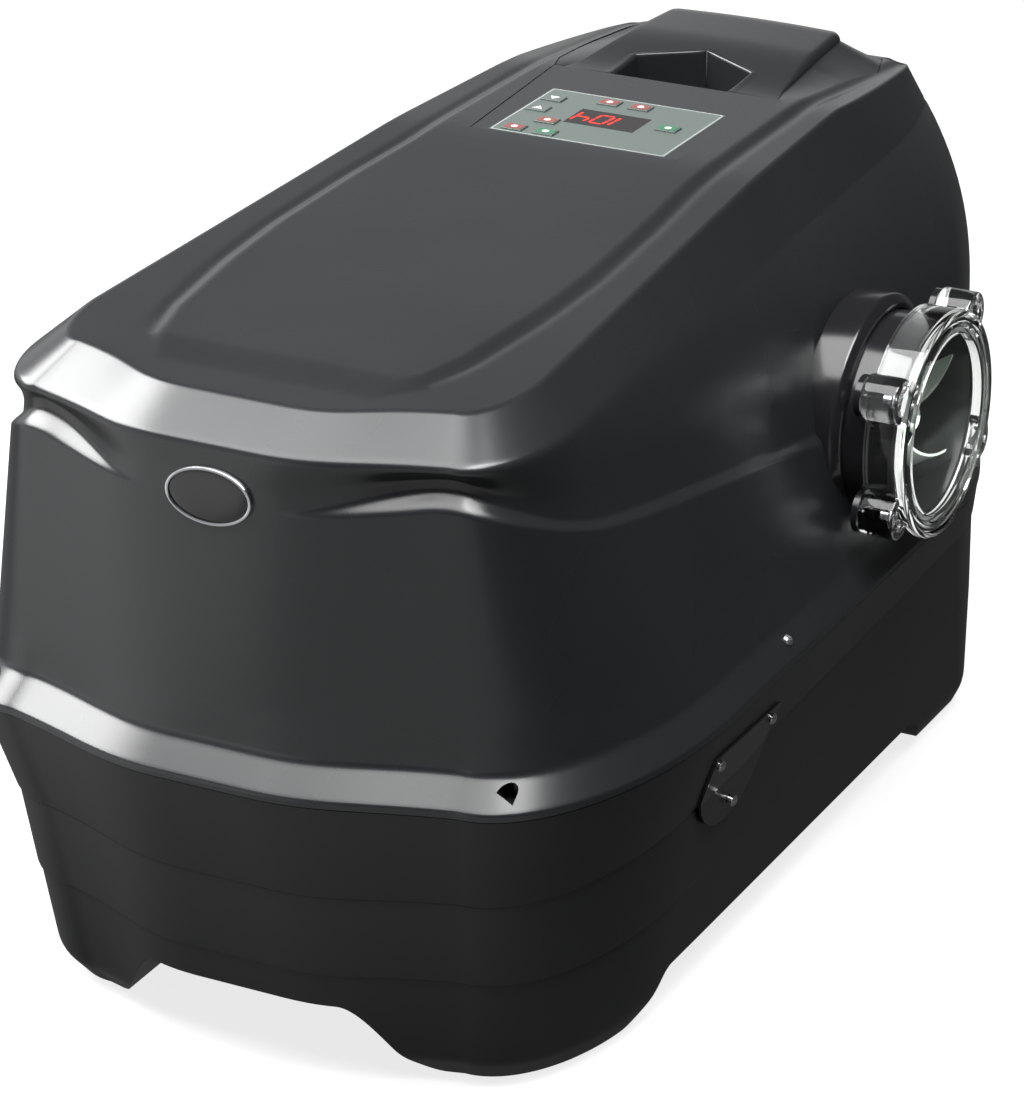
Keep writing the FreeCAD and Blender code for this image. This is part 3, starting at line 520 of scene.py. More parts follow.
def tray_skin(inset, rim_z):
    """One skin of the tray, from under its feet to the joint line."""
    feet = level(outline(*FEET, inset), inset)
    chamfer = level(outline(*CHAMFER, inset), 14.0 + inset)
    crease = level(outline(*CREASE, inset), CREASE_Z, CREASE_SLOPE)
    rim = level(ledge_plan(1.2, inset), rim_z)
    if inset:
        return climb([feet, chamfer, crease, rim], [0, 4, 4, 0], [3, 20, 14])
    share = (SHORT_LIP_Z - 14.0) / (CREASE_Z - 14.0)
    upper_lip = between(chamfer, crease, share)
    wrap = 1 - smoothstep(upper_lip[:, 1], 110.0, 210.0)
    lower_lip = between(chamfer, crease, share - 0.012) + inward(upper_lip) * (LIP * wrap)[:, None]
    under_crease = between(chamfer, crease, 0.985) + inward(crease) * LIP
    return climb([feet, chamfer, lower_lip, upper_lip, under_crease, crease, rim],
                 [0, 5, 0.5, 0.5, 0.6, 0.8, 0], [4, 14, 1, 14, 1, 14])


def cap(row):
    """Rows that pull a level in to its middle line."""
    spine = np.column_stack([np.zeros(len(row)), np.clip(row[:, 1], 150.0, 520.0), row[:, 2]])
    return [row * (1 - s) + spine * s for s in np.linspace(0, 1, 9)[1:]]


def closed_form(name, rows):
    """A solid from rows, with a cap over its first row and its last."""
    loops = whole(cap(rows[0])[::-1] + rows + cap(rows[-1]))
    return solid(name, loops.reshape(-1, 3), grid_faces(*loops.shape[:2], True), body=None, merge=0.01)


print("the tray's crease is at", CREASE_Z, "mm")

# %% [markdown]
# An arch is level in the middle and comes down to the feet in an S. The same cutter, one wall
# larger, also shapes the room inside, so the wall over the arch is as thick as the rest.

# %% Arches and port holes
ARCH_STEPS = 24


def arch_half(foot, flat, height, lift):
    """Half of an arch: level in the middle, then an S-curve down to the foot."""
    t = np.linspace(0, 1, ARCH_STEPS + 1)
    across = flat + lift + (foot - flat) * t
    up = (height + lift) * (0.5 + 0.5 * np.cos(np.pi * t))
    return [(float(a), float(b)) for a, b in zip(across, up)]


def arch_cutter(name, foot, flat, height, lift, centre, along):
    """A tunnel right through the tray, along y or x."""
    half = arch_half(foot, flat, height, lift)
    tip = [(half[-1][0], -6.0)]
    shape = [(-a, b) for a, b in tip + half[::-1]] + half + tip
    if along == "y":
        verts = [(a, y, b) for y in (-80.0, 720.0) for a, b in shape]
    else:
        verts = [(x, centre + a, b) for x in (-280.0, 280.0) for a, b in shape]
    return solid(name, verts, block_faces(len(shape)), body=None)


def arch_cutters(lift):
    """The front-to-rear tunnel and the side-to-side one."""
    return (arch_cutter("front_arch", 97.0, 52.0, 44.0, lift, 0.0, "y"),
            arch_cutter("side_arch", 197.0, 160.0, 25.0, lift, 320.0, "x"))


RIM_Z = PARTING_Z - 1.0
tray = closed_form("base_tray_skin", tray_skin(0.0, RIM_Z))
room = closed_form("tray_room", tray_skin(WALL, RIM_Z + 2.0))
carve(room, *arch_cutters(WALL))
port_boxes = {name: drawn_box(name) for name in ("water_inlet", "water_outlet", "air_port", "cable_gland")}


def port_centre(name):
    """The (x, z) of a port's axis."""
    low, high = port_boxes[name]
    return float(low[0] + high[0]) / 2, float(low[2] + high[2]) / 2


PORT_R = {"water_inlet": 25.0, "water_outlet": 25.0, "air_port": 20.0, "cable_gland": 9.0}
port_cutters = []
for name, radius in PORT_R.items():
    port_x, port_z = port_centre(name)
    port_cutters.append(turned(name + "_cutter", [(0, 0), (0, radius + 0.4), (80, radius + 0.4), (80, 0)],
                               (port_x, 590.0, port_z), (0, 1, 0), body=None))
carve(tray, *arch_cutters(0.0), room, *port_cutters)
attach(tray, "housing")
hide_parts("base_tray")
print("tray mesh", len(tray.data.vertices), "points")

# %% [markdown]
# ## Rear hood
#
# Behind the panel a hood rises to the rear, and a carrying notch is let into its front. The hood
# is lofted across: at each station along its length the section runs from the notch wall, over a
# rounded lip, across the crown and down the flank. Where there is no notch the wall shrinks to
# nothing in the middle plane.

# %% Hood
NOTCH_HALF, NOTCH_BACK_Y, NOTCH_APEX_Y, NOTCH_FLOOR_Z = 35.0, 530.0, 548.0, 352.0
HOOD_LOW_Z = 346.0


def hood_top(y):
    """The hood's profile in the middle plane."""
    return 379.8 + 5.4 * smoothstep(y, 500.0, 575.0) - 4.0 * smoothstep(y, 606.0, 626.0) ** 2


def hood_section(y, end_drop=0.0):
    """Half a section: notch wall, lip, crown, shoulder and flank, as (x, z) points."""
    foot = half_width(HOOD_FOOT, y) - GAP
    outer = half_width(HOOD_CREST, y)
    top = float(hood_top(y)) - end_drop
    if y < NOTCH_APEX_Y:
        inner = NOTCH_HALF * min(1.0, (NOTCH_APEX_Y - y) / (NOTCH_APEX_Y - NOTCH_BACK_Y))
        deep = NOTCH_FLOOR_Z
    else:
        inner, deep = 0.0, top
    lip = min(2.2, 0.6 * inner)
    points = [(inner, deep), (inner, deep * 0.5 + (top - lip) * 0.5)]
    points += [(inner + lip - lip * math.cos(a), top - lip + lip * math.sin(a))
               for a in np.linspace(0, math.pi / 2, 6)]
    roll = min(5.0, 0.45 * (top - 1.2 - float(top_line(y)) + EDGE_DROP))
    for s in np.linspace(0, 1, 12)[1:]:
        x = inner + lip + (outer - roll - inner - lip) * s
        points.append((x, top - 1.2 * (x / outer) ** 2))
    crown = points[-1][1]
    foot_z = float(top_height(foot + 1.0, y)) - 0.3
    points += [(outer - roll + roll * math.sin(a), crown - roll + roll * math.cos(a))
               for a in np.linspace(0, math.pi / 2, 9)[1:]]
    flank_z = crown - roll
    points += [(outer + (foot - outer) * s, flank_z - (flank_z - foot_z) * s) for s in (0.35, 0.7, 1.0)]
    points += [(foot, HOOD_LOW_Z), (foot - 3.0, HOOD_LOW_Z)]
    return points


print("the notch is", 2 * NOTCH_HALF, "mm wide")

# %% [markdown]
# The stations run from front to rear. They lie closer together where the notch ends and where the
# hood rolls over at its two ends.

# %% Hood mesh
front_roll = 1.6
hood_stations = [(496.4 + front_roll * (1 - math.cos(a)), front_roll * (1 - math.sin(a)))
                 for a in np.linspace(0, math.pi / 2, 6)]
hood_stations += [(y, 0.0) for y in np.linspace(500, 546, 24)]
hood_stations += [(y, 0.0) for y in (547.0, NOTCH_APEX_Y - 0.1, NOTCH_APEX_Y)]
hood_stations += [(y, 0.0) for y in np.linspace(551, 618, 22)]
rear_roll = 7.0
hood_stations += [(618.5 + rear_roll * math.sin(a), rear_roll * (1 - math.cos(a)))
                  for a in np.linspace(0, math.pi / 2, 9)]
hood_grid = np.array([[(x, y, z) for x, z in hood_section(y, drop)] for y, drop in hood_stations])
rows, columns = hood_grid.shape[:2]
half_verts = hood_grid.reshape(-1, 3)
half_faces = grid_faces(rows, columns, False)
rear_face = [(rows - 1) * columns + i for i in range(columns)]
front_face = list(range(columns))
centre_rear = len(half_verts)
half_verts = np.vstack([half_verts, [[0.0, hood_stations[-1][0], HOOD_LOW_Z]]])
half_faces += [tuple(rear_face + [centre_rear]), tuple(front_face)]
other = half_verts * np.array([-1.0, 1.0, 1.0])
offset = len(half_verts)
other_faces = [tuple(i + offset for i in reversed(face)) for face in half_faces]
hood = solid("rear_hood_skin", np.vstack([half_verts, other]), half_faces + other_faces, merge=0.01)
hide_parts("rear_hood")
floor_half = NOTCH_HALF + 0.6
floor_plan = mirrored([(floor_half, 490.0), (floor_half, NOTCH_BACK_Y), (0.01, NOTCH_APEX_Y + 0.6)])
notch_floor = prism("notch_floor", floor_plan, NOTCH_FLOOR_Z - 2.5, NOTCH_FLOOR_Z)
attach(notch_floor, "housing")
print("hood mesh", len(hood.data.vertices), "points")

# %% [markdown]
# ## Clear pump cover
#
# The cover is a clear drum with a ring groove round its face and four lugs. The drum is turned on
# the pump's axis like a pot, the lugs are drawn as short turned posts that run into it, and all of
# it is fused into one closed skin, because light bends wrongly through skins that overlap. The
# middle of the face is a thin pane of its own.

# %% Cover
COVER_X = (float(cover_low[0]), float(cover_high[0]))
COVER_R = 62.0
LUG_REACH, LUG_R = 64.0, 12.5
LUG_ANGLES = (48.0, 150.0, 212.0, -27.0)


def rounded(points, radius, steps=4):
    """A closed profile with each corner swapped for a short curve."""
    out = []
    n = len(points)
    for i in range(n):
        here = np.array(points[i], float)
        back, ahead = np.array(points[i - 1]) - here, np.array(points[(i + 1) % n]) - here
        size = min(radius, 0.45 * np.linalg.norm(back), 0.45 * np.linalg.norm(ahead))
        a = here + back / np.linalg.norm(back) * size
        b = here + ahead / np.linalg.norm(ahead) * size
        out += [tuple(a * (1 - s) ** 2 + 2 * here * s * (1 - s) + b * s * s)
                for s in np.linspace(0, 1, steps)]
    return out


depth = COVER_X[1] - COVER_X[0]
PANE_R = 49.6
profile = [(0, NECK_R + 0.7), (0, COVER_R - 1), (1, COVER_R), (depth - 3, COVER_R),
           (depth - 1.6, COVER_R - 0.8), (depth - 0.8, COVER_R - 2.4), (depth - 0.8, 59.0),
           (depth - 3.2, 58.4), (depth - 3.2, 56.2), (depth - 0.2, 55.4), (depth - 0.2, 53.4),
           (depth - 1.4, 52.4), (depth - 1.4, PANE_R), (depth - 4.4, PANE_R), (depth - 5.2, PANE_R + 0.6),
           (depth - 8.0, PANE_R + 0.6), (depth - 8.0, NECK_R + 0.7)]
cover = turned("clear_cover", profile, (COVER_X[0], PUMP_Y, PUMP_Z), (1, 0, 0), steps=128)


def lug_centre(angle):
    """The (y, z) of a lug's axis."""
    turn = math.radians(angle)
    return PUMP_Y + LUG_REACH * math.cos(turn), PUMP_Z + LUG_REACH * math.sin(turn)


lugs = []
for angle in LUG_ANGLES:
    lug_y, lug_z = lug_centre(angle)
    post = rounded([(0.3, 0), (0.3, LUG_R), (depth - 5.0, LUG_R), (depth - 5.0, 8.0), (depth - 6.2, 7.0),
                    (depth - 6.2, 5.2), (depth - 10.0, 5.0), (depth - 10.0, 0)], 1.4)
    lugs.append(turned("lug", post, (COVER_X[0], lug_y, lug_z), (1, 0, 0), body=None, steps=48))
combine(cover, "UNION", lugs)
room_profile = [(-2, 0), (-2, NECK_R + 0.6), (depth - 8.0, NECK_R + 0.6), (depth - 8.0, 0)]
neck_room = turned("neck_room", room_profile, (COVER_X[0], PUMP_Y, PUMP_Z), (1, 0, 0), body=None)
carve(cover, neck_room)
for lug in lugs:
    bpy.data.objects.remove(lug)
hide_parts("pump_cover")
pane_profile = [(depth - 4.3, 0.0), (depth - 4.3, PANE_R - 0.2), (depth - 1.6, PANE_R - 0.2),
                (depth - 1.5, 30.0), (depth - 1.3, 15.0), (depth - 1.2, 0.0)]
pane = turned("cover_pane", pane_profile, (COVER_X[0], PUMP_Y, PUMP_Z), (1, 0, 0), steps=128)
seal_profile = [(depth - 3.0 + 1.1 * math.cos(a), 57.2 + 0.8 * math.sin(a))
                for a in np.linspace(0, 2 * math.pi, 13)[:-1]]
pane_seal = turned("cover_seal_line", seal_profile, (COVER_X[0], PUMP_Y, PUMP_Z), (1, 0, 0), steps=128)
print("cover mesh", len(cover.data.vertices), "points")

# %% [markdown]
# ## Finishes
#
# A finish is a small graph of nodes. Writing graphs node by node is slow to read, so a socket is
# wrapped in a class that understands arithmetic: `0.4 + 0.1 * noise` adds two Math nodes.

# %% Node arithmetic
COLOUR_A, COLOUR_B, COLOUR_RESULT = 6, 7, 2      # sockets of a Mix node that mixes colours


class Wire:
    """The output of a node, with arithmetic that adds Math nodes."""

    def __init__(self, finish, socket):
        self.finish = finish
        self.socket = socket

    def maths(self, operation, first, second):
        return self.finish.node("ShaderNodeMath", {"operation": operation}, {0: first, 1: second})

    def __add__(self, other):
        return self.maths("ADD", self, other)

    __radd__ = __add__

    def __mul__(self, other):
        return self.maths("MULTIPLY", self, other)

    __rmul__ = __mul__

    def __sub__(self, other):
        return self.maths("SUBTRACT", self, other)

    def __rsub__(self, other):
        return self.maths("SUBTRACT", other, self)


class Graph:
    """A tree of shader nodes, for a material or for the sky."""

    def __init__(self, tree):
        self.tree = tree

    def put(self, node, inputs):
        for key, value in inputs.items():
            socket = node.inputs[key.replace("_", " ") if isinstance(key, str) else key]
            if isinstance(value, Wire):
                self.tree.links.new(value.socket, socket)
            else:
                socket.default_value = value

    def node(self, kind, settings=None, inputs=None, output=0):
        """Adds a node: its settings first, then the values or links of its sockets."""
        made = self.tree.nodes.new(kind)
        for key, value in (settings or {}).items():
            setattr(made, key, value)
        self.put(made, inputs or {})
        return Wire(self, made.outputs[output])

    def outputs(self, kind, inputs, *names):
        """Adds a node and gives several of its outputs."""
        sockets = self.node(kind, None, inputs).socket.node.outputs
        return [Wire(self, sockets[name]) for name in names]

    def position(self):
        return self.node("ShaderNodeTexCoord", output="Object")

    def noise(self, scale, detail=3.0, rough=0.55):
        return self.node("ShaderNodeTexNoise", None,
                         {"Vector": self.position(), "Scale": scale, "Detail": detail, "Roughness": rough})

    def blend(self, factor, first, second):
        """A colour between two others."""
        return self.node("ShaderNodeMix", {"data_type": "RGBA"},
                         {0: factor, COLOUR_A: first, COLOUR_B: second}, output=COLOUR_RESULT)

    def ramp(self, value, low, high, start, finish):
        """A value that eases from start to finish as another goes from low to high."""
        return self.node("ShaderNodeMapRange", {"interpolation_type": "SMOOTHSTEP"},
                         {"Value": value, "From Min": low, "From Max": high,
                          "To Min": start, "To Max": finish})

    def glow(self, kind, strength):
        return self.node(kind, None, {"Color": (1.0, 1.0, 1.0, 1.0), "Strength": strength})

    def mix(self, factor, first, second):
        """One shader or the other, by a factor."""
        return self.node("ShaderNodeMixShader", None, {0: factor, 1: first, 2: second})


class Finish(Graph):
    """A material whose main shader is already there."""

    def __init__(self, name, colour, roughness, **constants):
        self.material = bpy.data.materials.new(name)
        self.material.use_nodes = True
        super().__init__(self.material.node_tree)
        self.shader = self.tree.nodes["Principled BSDF"]
        self.put(self.shader, {"Base Color": (*colour, 1.0), "Roughness": roughness})
        self.put(self.shader, constants)
        self.material.diffuse_color = (*colour, 1.0)

    def bump(self, height, strength, distance):
        normal = self.node("ShaderNodeBump", None,
                           {"Height": height, "Strength": strength, "Distance": distance})
        self.put(self.shader, {"Normal": normal})

    def wear(self, **inputs):
        self.put(self.shader, inputs)


def paint(finish, *pieces):
    """Gives a finish to pieces, and to CAD nodes by name."""
    for piece in pieces:
        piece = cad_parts[piece] if isinstance(piece, str) else piece
        piece.data.materials.clear()
        piece.data.materials.append(finish.material)


print("finishes can be made")

# %% [markdown]
# ### Casing plastic
#
# Charcoal ABS with a fine moulded grain. The colour hardly varies; what makes it look moulded is
# the grain in the bump and a slow change of gloss where the tool was polished unevenly.

# %% Casing plastic


def moulded_plastic(name, colour, gloss, grain=0.12):
    finish = Finish(name, colour, gloss)
    fine = finish.noise(2600.0, 2.0)
    broad = finish.noise(9.0, 2.0)
    shade = finish.blend(broad, (*[c * 0.88 for c in colour], 1.0), (*[c * 1.12 for c in colour], 1.0))
    finish.wear(Base_Color=shade, Roughness=gloss - 0.03 + 0.06 * broad)
    finish.bump(fine, grain, 0.00006)
    return finish


casing = moulded_plastic("casing_plastic", (0.0105, 0.0112, 0.0122), 0.27)
tray_plastic = moulded_plastic("tray_plastic", (0.0095, 0.0098, 0.0102), 0.38)
paint(casing, housing, hood, notch_floor, "panel_case", "service_plate")
paint(tray_plastic, tray)
print("painted", housing.name, hood.name, tray.name)

# %% [markdown]
# ## Control panel
#
# The panel is a printed film over soft keys. Real keys of this kind are flush, so each one is the
# CAD key with a small raised print on it. The print rides on its key and goes down with it. The
# display is three seven-segment digits behind a dark lens, made to be read from the rear.

# %% Printed shapes


def flat_print(name, outline, z, body, thick=0.12):
    """A thin raised print from a flat outline."""
    piece = prism(name, outline, z, z + thick)
    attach(piece, body)
    return piece


def round_box(x0, x1, y0, y1, radius, steps=6):
    """A rectangle with round corners, as (x, y) points."""
    points = []
    for cx, cy, start in ((x1 - radius, y1 - radius, 0.0), (x0 + radius, y1 - radius, 90.0),
                          (x0 + radius, y0 + radius, 180.0), (x1 - radius, y0 + radius, 270.0)):
        for k in range(steps + 1):
            turn = math.radians(start + 90.0 * k / steps)
            points.append((cx + radius * math.cos(turn), cy + radius * math.sin(turn)))
    return points


def key_centre(node):
    """The middle of a key's top face."""
    low, high = drawn_box(node)
    return (float(low[0] + high[0]) / 2, float(low[1] + high[1]) / 2, float(high[2]))


RED_KEYS = ("button_power", "button_timer", "button_filter", "button_bubbles")
GREEN_KEYS = ("button_heater", "button_unit")
ARROW_KEYS = {"button_up": -1.0, "button_down": 1.0}
red_prints, green_prints, white_prints = [], [], []
for key in RED_KEYS + GREEN_KEYS:
    x, y, z = key_centre(key)
    mark = flat_print(key + "_print", round_box(x - 5.2, x + 5.2, y - 3.7, y + 3.7, 1.6), z, key)
    (red_prints if key in RED_KEYS else green_prints).append(mark)
    ring = [(x + 2.0 * math.cos(a), y + 2.0 * math.sin(a)) for a in np.linspace(0, 2 * math.pi, 25)[:-1]]
    white_prints.append(flat_print(key + "_dot", ring, z + 0.12, key, 0.06))
for key, way in ARROW_KEYS.items():
    x, y, z = key_centre(key)
    arrow = [(x - 3.2, y - 2.2 * way), (x + 3.2, y - 2.2 * way), (x, y + 2.6 * way)]
    white_prints.append(flat_print(key + "_print", arrow[::int(way)], z, key))
print(len(red_prints), "red,", len(green_prints), "green and", len(white_prints), "white prints")

# %% [markdown]
# A digit is made of bars. It is read from the rear, so the row runs towards -X and up is towards
# -Y, and it leans a little as such displays do.

# %% Digits
SEGMENTS = {"1": "bc", "0": "abcdef", "4": "bcfg"}
DIGIT_W, DIGIT_H, STROKE = 8.0, 14.0, 1.5


def bar(x0, y0, x1, y1):
    """One display segment: a bar with pointed ends."""
    run = np.array([x1 - x0, y1 - y0], float)
    length = np.linalg.norm(run)
    run /= length
    side = np.array([-run[1], run[0]]) * STROKE / 2
    start, end = np.array([x0, y0]) + run * 0.3, np.array([x1, y1]) - run * 0.3
    tip = run * STROKE / 2
    return [start, start + tip + side, end - tip + side, end, end - tip - side, start + tip - side]


lens_low, lens_high = drawn_box("display_window")
digit_y = float(lens_low[1] + lens_high[1]) / 2
digit_z = float(lens_high[2])
digits = []
for place_in_row, character in enumerate("104"):
    left = 13.0 - place_in_row * 11.5
    w, h = DIGIT_W, DIGIT_H
    ends = {"a": (0, h, w, h), "b": (w, h / 2, w, h), "c": (w, 0, w, h / 2), "d": (0, 0, w, 0),
            "e": (0, 0, 0, h / 2), "f": (0, h / 2, 0, h), "g": (0, h / 2, w, h / 2)}
    for segment in SEGMENTS[character]:
        shape = bar(*ends[segment])
        slant = [(left - (px + 0.12 * py), digit_y + h / 2 - py) for px, py in shape]
        digits.append(flat_print(f"digit_{place_in_row}_{segment}", slant, digit_z, "housing", 0.06))
print(len(digits), "lit segments")

# %% [markdown]
# A thin light line runs round the printed film, just inside its edge.

# %% Label edge
label_low, label_high = drawn_box("panel_label")
label_z = float(label_high[2])


def film_loop(inset, radius):
    """A loop on the film, a distance in from its edge."""
    return round_box(label_low[0] + inset, label_high[0] - inset,
                     label_low[1] + inset, label_high[1] - inset, radius)


outer_edge, inner_edge = film_loop(0.6, 2.0), film_loop(1.5, 1.4)
count = len(outer_edge)
verts = [(x, y, z) for z in (label_z, label_z + 0.1) for loop in (outer_edge, inner_edge) for x, y in loop]
faces = []
for i in range(count):
    j = (i + 1) % count
    faces += [(a * count + i, a * count + j, b * count + j, b * count + i)
              for a, b in ((0, 1), (2, 3), (0, 2), (1, 3))]
label_edge = solid("label_edge_line", verts, faces)
print("label line of", count, "steps")

# %% [markdown]
# ## Badge, screws and pump details
#
# The badge is a plain oval with a raised rim. Screws get a domed head with a cross recess. The
# vanes behind the clear cover are swept blades on a hub, turned a little more at every step along
# the shaft, so they show curved edges through the cover.

# %% Badge


def oval_piece(name, profile, centre, half_width, half_height, steps=96):
    """A plate on the nose from (share of the oval, distance forward) points."""
    verts = []
    for share, out in profile:
        for k in range(steps):
            turn = 2 * math.pi * k / steps
            grow = (share - 1.0) * half_height
            verts.append((centre[0] + (half_width + grow) * math.cos(turn), centre[1] - out,
                          centre[2] + (half_height + grow) * math.sin(turn)))
    faces = grid_faces(len(profile), steps, True)
    faces += [tuple(range(steps)), tuple((len(profile) - 1) * steps + i for i in range(steps))]
    return solid(name, verts, faces)


badge_low, badge_high = drawn_box("badge")
badge_centre = ((badge_low[0] + badge_high[0]) / 2, -11.0, (badge_low[2] + badge_high[2]) / 2)
BADGE_HALF = (24.0, 15.0)
rim_profile = [(1.0, -2.0), (1.0, 1.2), (0.975, 1.9), (0.93, 2.1), (0.885, 1.8), (0.87, 0.9)]
face_profile = [(0.88, -1.5), (0.88, 1.0), (0.80, 1.35), (0.55, 1.7), (0.3, 1.85), (0.1, 1.9)]
badge_rim = oval_piece("badge_rim", rim_profile, badge_centre, *BADGE_HALF)
badge_face = oval_piece("badge_face", face_profile, badge_centre, *BADGE_HALF)
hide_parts("badge")
print("badge", 2 * BADGE_HALF[0], "by", 2 * BADGE_HALF[1], "mm")

# %% [markdown]
# A screw is a turned dome. Its cross is cut with a plus-shaped block, one arm for each quarter.

# %% Screws


def cross_screw(name, centre, axis, radius, height):
    """A domed head with a cross recess, and its shank."""
    profile = [(-5.0, 0.0), (-5.0, radius * 0.45), (-0.2, radius * 0.45), (-0.2, radius * 0.98),
               (0.35, radius), (height * 0.55, radius * 0.86), (height * 0.85, radius * 0.55),
               (height, radius * 0.2), (height, 0.0)]
    screw = turned(name, profile, centre, axis, steps=40)
    axis = Vector(axis).normalized()
    side = axis.orthogonal().normalized()
    up = axis.cross(side)
    arm, slot_half = radius * 0.5, radius * 0.11
    base, tip = Vector(centre) + axis * height * 0.35, Vector(centre) + axis * (height + 1.0)
    shape = []
    for quarter in range(4):
        turn = math.pi / 2 * quarter
        along = side * math.cos(turn) + up * math.sin(turn)
        across = up * math.cos(turn) - side * math.sin(turn)
        shape += [along * arm - across * slot_half, along * arm + across * slot_half,
                  along * slot_half + across * slot_half]
    verts = [tuple(end + p) for end in (base, tip) for p in shape]
    return carve(screw, solid("cross_cutter", verts, block_faces(len(shape)), body=None))


LEDGE_SCREW = (194.2, 238.0, 182.8)
screws = []
for index, side in enumerate((-1, 1)):
    pocket_seat = (side * SCREW_X, SCREW_Y - 1.0, SCREW_Z - 0.5)
    ledge_seat = (side * LEDGE_SCREW[0], LEDGE_SCREW[1], LEDGE_SCREW[2])
    screws.append(cross_screw(f"pocket_screw_{index}", pocket_seat, (0, -1, 0), 3.6, 2.6))
    screws.append(cross_screw(f"ledge_screw_{index}", ledge_seat, (side, 0, 1), 3.2, 2.0))
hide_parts("housing_screws")
print(len(screws), "housing screws")

# %% [markdown]
# Each lug of the cover has a screw, and the neck comes out of the wall through a round collar.

# %% Cover screws and neck collar
cover_screws = []
for index, angle in enumerate(LUG_ANGLES):
    lug_y, lug_z = lug_centre(angle)
    seat = (COVER_X[1] - 9.7, lug_y, lug_z)
    cover_screws.append(cross_screw(f"cover_screw_{index}", seat, (1, 0, 0), 4.0, 2.4))
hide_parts("cover_screws")
collar_profile = rounded([(0, NECK_R + 0.3), (0, NECK_R + 8.0), (20.0, NECK_R + 8.0),
                          (24.0, NECK_R + 3.0), (24.0, NECK_R + 0.3)], 1.5)
collar = turned("neck_collar", collar_profile, (157.0, PUMP_Y, PUMP_Z), (1, 0, 0), steps=128)
print(len(cover_screws), "cover screws")

# %% [markdown]
# A vane is a grid of rings. Each ring goes out from the hub on one side of the blade and back on
# the other, and the next ring is turned a little further along the shaft.

# %% Vanes
HUB_R, VANE_R, VANE_COUNT = 13.0, 46.0, 5
VANE_X = (128.0, 203.0)
VANE_HALF = 0.9
vane_verts, vane_faces = [], []
stations, spans = 28, 14
for index in range(VANE_COUNT):
    grid = []
    for i in range(stations):
        share = i / (stations - 1)
        x = VANE_X[0] + (VANE_X[1] - VANE_X[0]) * share
        for side in (-1, 1):
            order = range(spans) if side < 0 else range(spans - 1, -1, -1)
            for j in order:
                span = j / (spans - 1)
                radius = HUB_R - 1 + (VANE_R - HUB_R + 1) * span
                sweep = 1.25 * share + 0.55 * span ** 1.5
                turn = 2 * math.pi * index / VANE_COUNT + sweep + side * VANE_HALF / radius
                lean = 14.0 * (1 - span) * share
                grid.append((x - lean, PUMP_Y + radius * math.cos(turn), PUMP_Z + radius * math.sin(turn)))
    start = len(vane_verts)
    ring = 2 * spans
    vane_verts += grid
    vane_faces += [tuple(start + k for k in face) for face in grid_faces(stations, ring, True)]
    vane_faces += [tuple(end + k for k in range(ring)) for end in (start, start + (stations - 1) * ring)]
vanes = solid("impeller_vanes", vane_verts, vane_faces, body="pump_rotor")
hub_length = VANE_X[1] - VANE_X[0] - 4
hub_profile = rounded([(0, 4.2), (0, HUB_R), (hub_length - 16, HUB_R), (hub_length, 6.0),
                       (hub_length, 4.2)], 1.5)
hub = turned("impeller_hub", hub_profile, (VANE_X[0], PUMP_Y, PUMP_Z), (1, 0, 0),
             body="pump_rotor", steps=64)
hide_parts("impeller")
print(VANE_COUNT, "vanes")

# %% [markdown]
# The three spigots at the rear are turned in one go each: a flange against the wall, a plain neck
# and four ridges of thread.

# %% Ports at the rear
THREAD_PITCH, THREAD_TURNS = 3.0, 4
ports = []
for name in ("water_inlet", "water_outlet", "air_port"):
    port_low, port_high = port_boxes[name]
    x, z = port_centre(name)
    radius = PORT_R[name]
    start = float(port_low[1])
    length = float(port_high[1]) - start
    profile = [(0, radius - 4.0), (0, radius - 1.0), (35.8, radius - 1.0), (36.0, radius + 5.6),
               (36.4, radius + 6.0), (40.6, radius + 6.0), (41.0, radius + 5.6), (41.0, radius - 1.0),
               (length - 15.2, radius - 1.0)]
    for k in range(THREAD_TURNS):
        base = length - 15.0 + THREAD_PITCH * k
        profile += [(base, radius - 1.2), (base + 0.7, radius - 0.05), (base + 1.3, radius - 0.05),
                    (base + 2.0, radius - 1.2)]
    profile += [(length - 1.0, radius - 1.2), (length, radius - 2.0), (length, radius - 3.6),
                (length - 0.6, radius - 4.0)]
    ports.append(turned(name + "_spigot", profile, (x, start, z), (0, 1, 0), steps=96))
    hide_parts(name)
print(len(ports), "ports")

# %% [markdown]
# Clear plastic, chrome, steel, rubber and print are one finish each. Every CAD node that still
# shows, and every one that is hidden inside, gets the finish of what it would be made of.

# %% Finishes of the small parts
clear = Finish("clear_plastic", (0.97, 0.985, 0.98), 0.03, Transmission_Weight=1.0, IOR=1.49)
paint(clear, cover)
clear_pane = Finish("clear_pane", (0.06, 0.07, 0.065), 0.05, Alpha=0.12)
paint(clear_pane, pane)
neck_gloss = moulded_plastic("neck_gloss", (0.008, 0.008, 0.009), 0.16, 0.02)
paint(neck_gloss, "pump_neck", badge_face, collar)
rim_chrome = Finish("rim_chrome", (0.55, 0.56, 0.58), 0.18, Metallic=1.0)
paint(rim_chrome, badge_rim)
vane = Finish("vane_plastic", (0.58, 0.66, 0.58), 0.22)
paint(vane, vanes, hub)


def metal(name, colour, gloss, streak):
    """Metal with fine turned marks in its gloss."""
    finish = Finish(name, colour, gloss, Metallic=1.0)
    marks = finish.noise(streak, 4.0)
    finish.wear(Roughness=gloss - 0.08 + 0.18 * marks)
    finish.bump(marks, 0.05, 0.00004)
    return finish


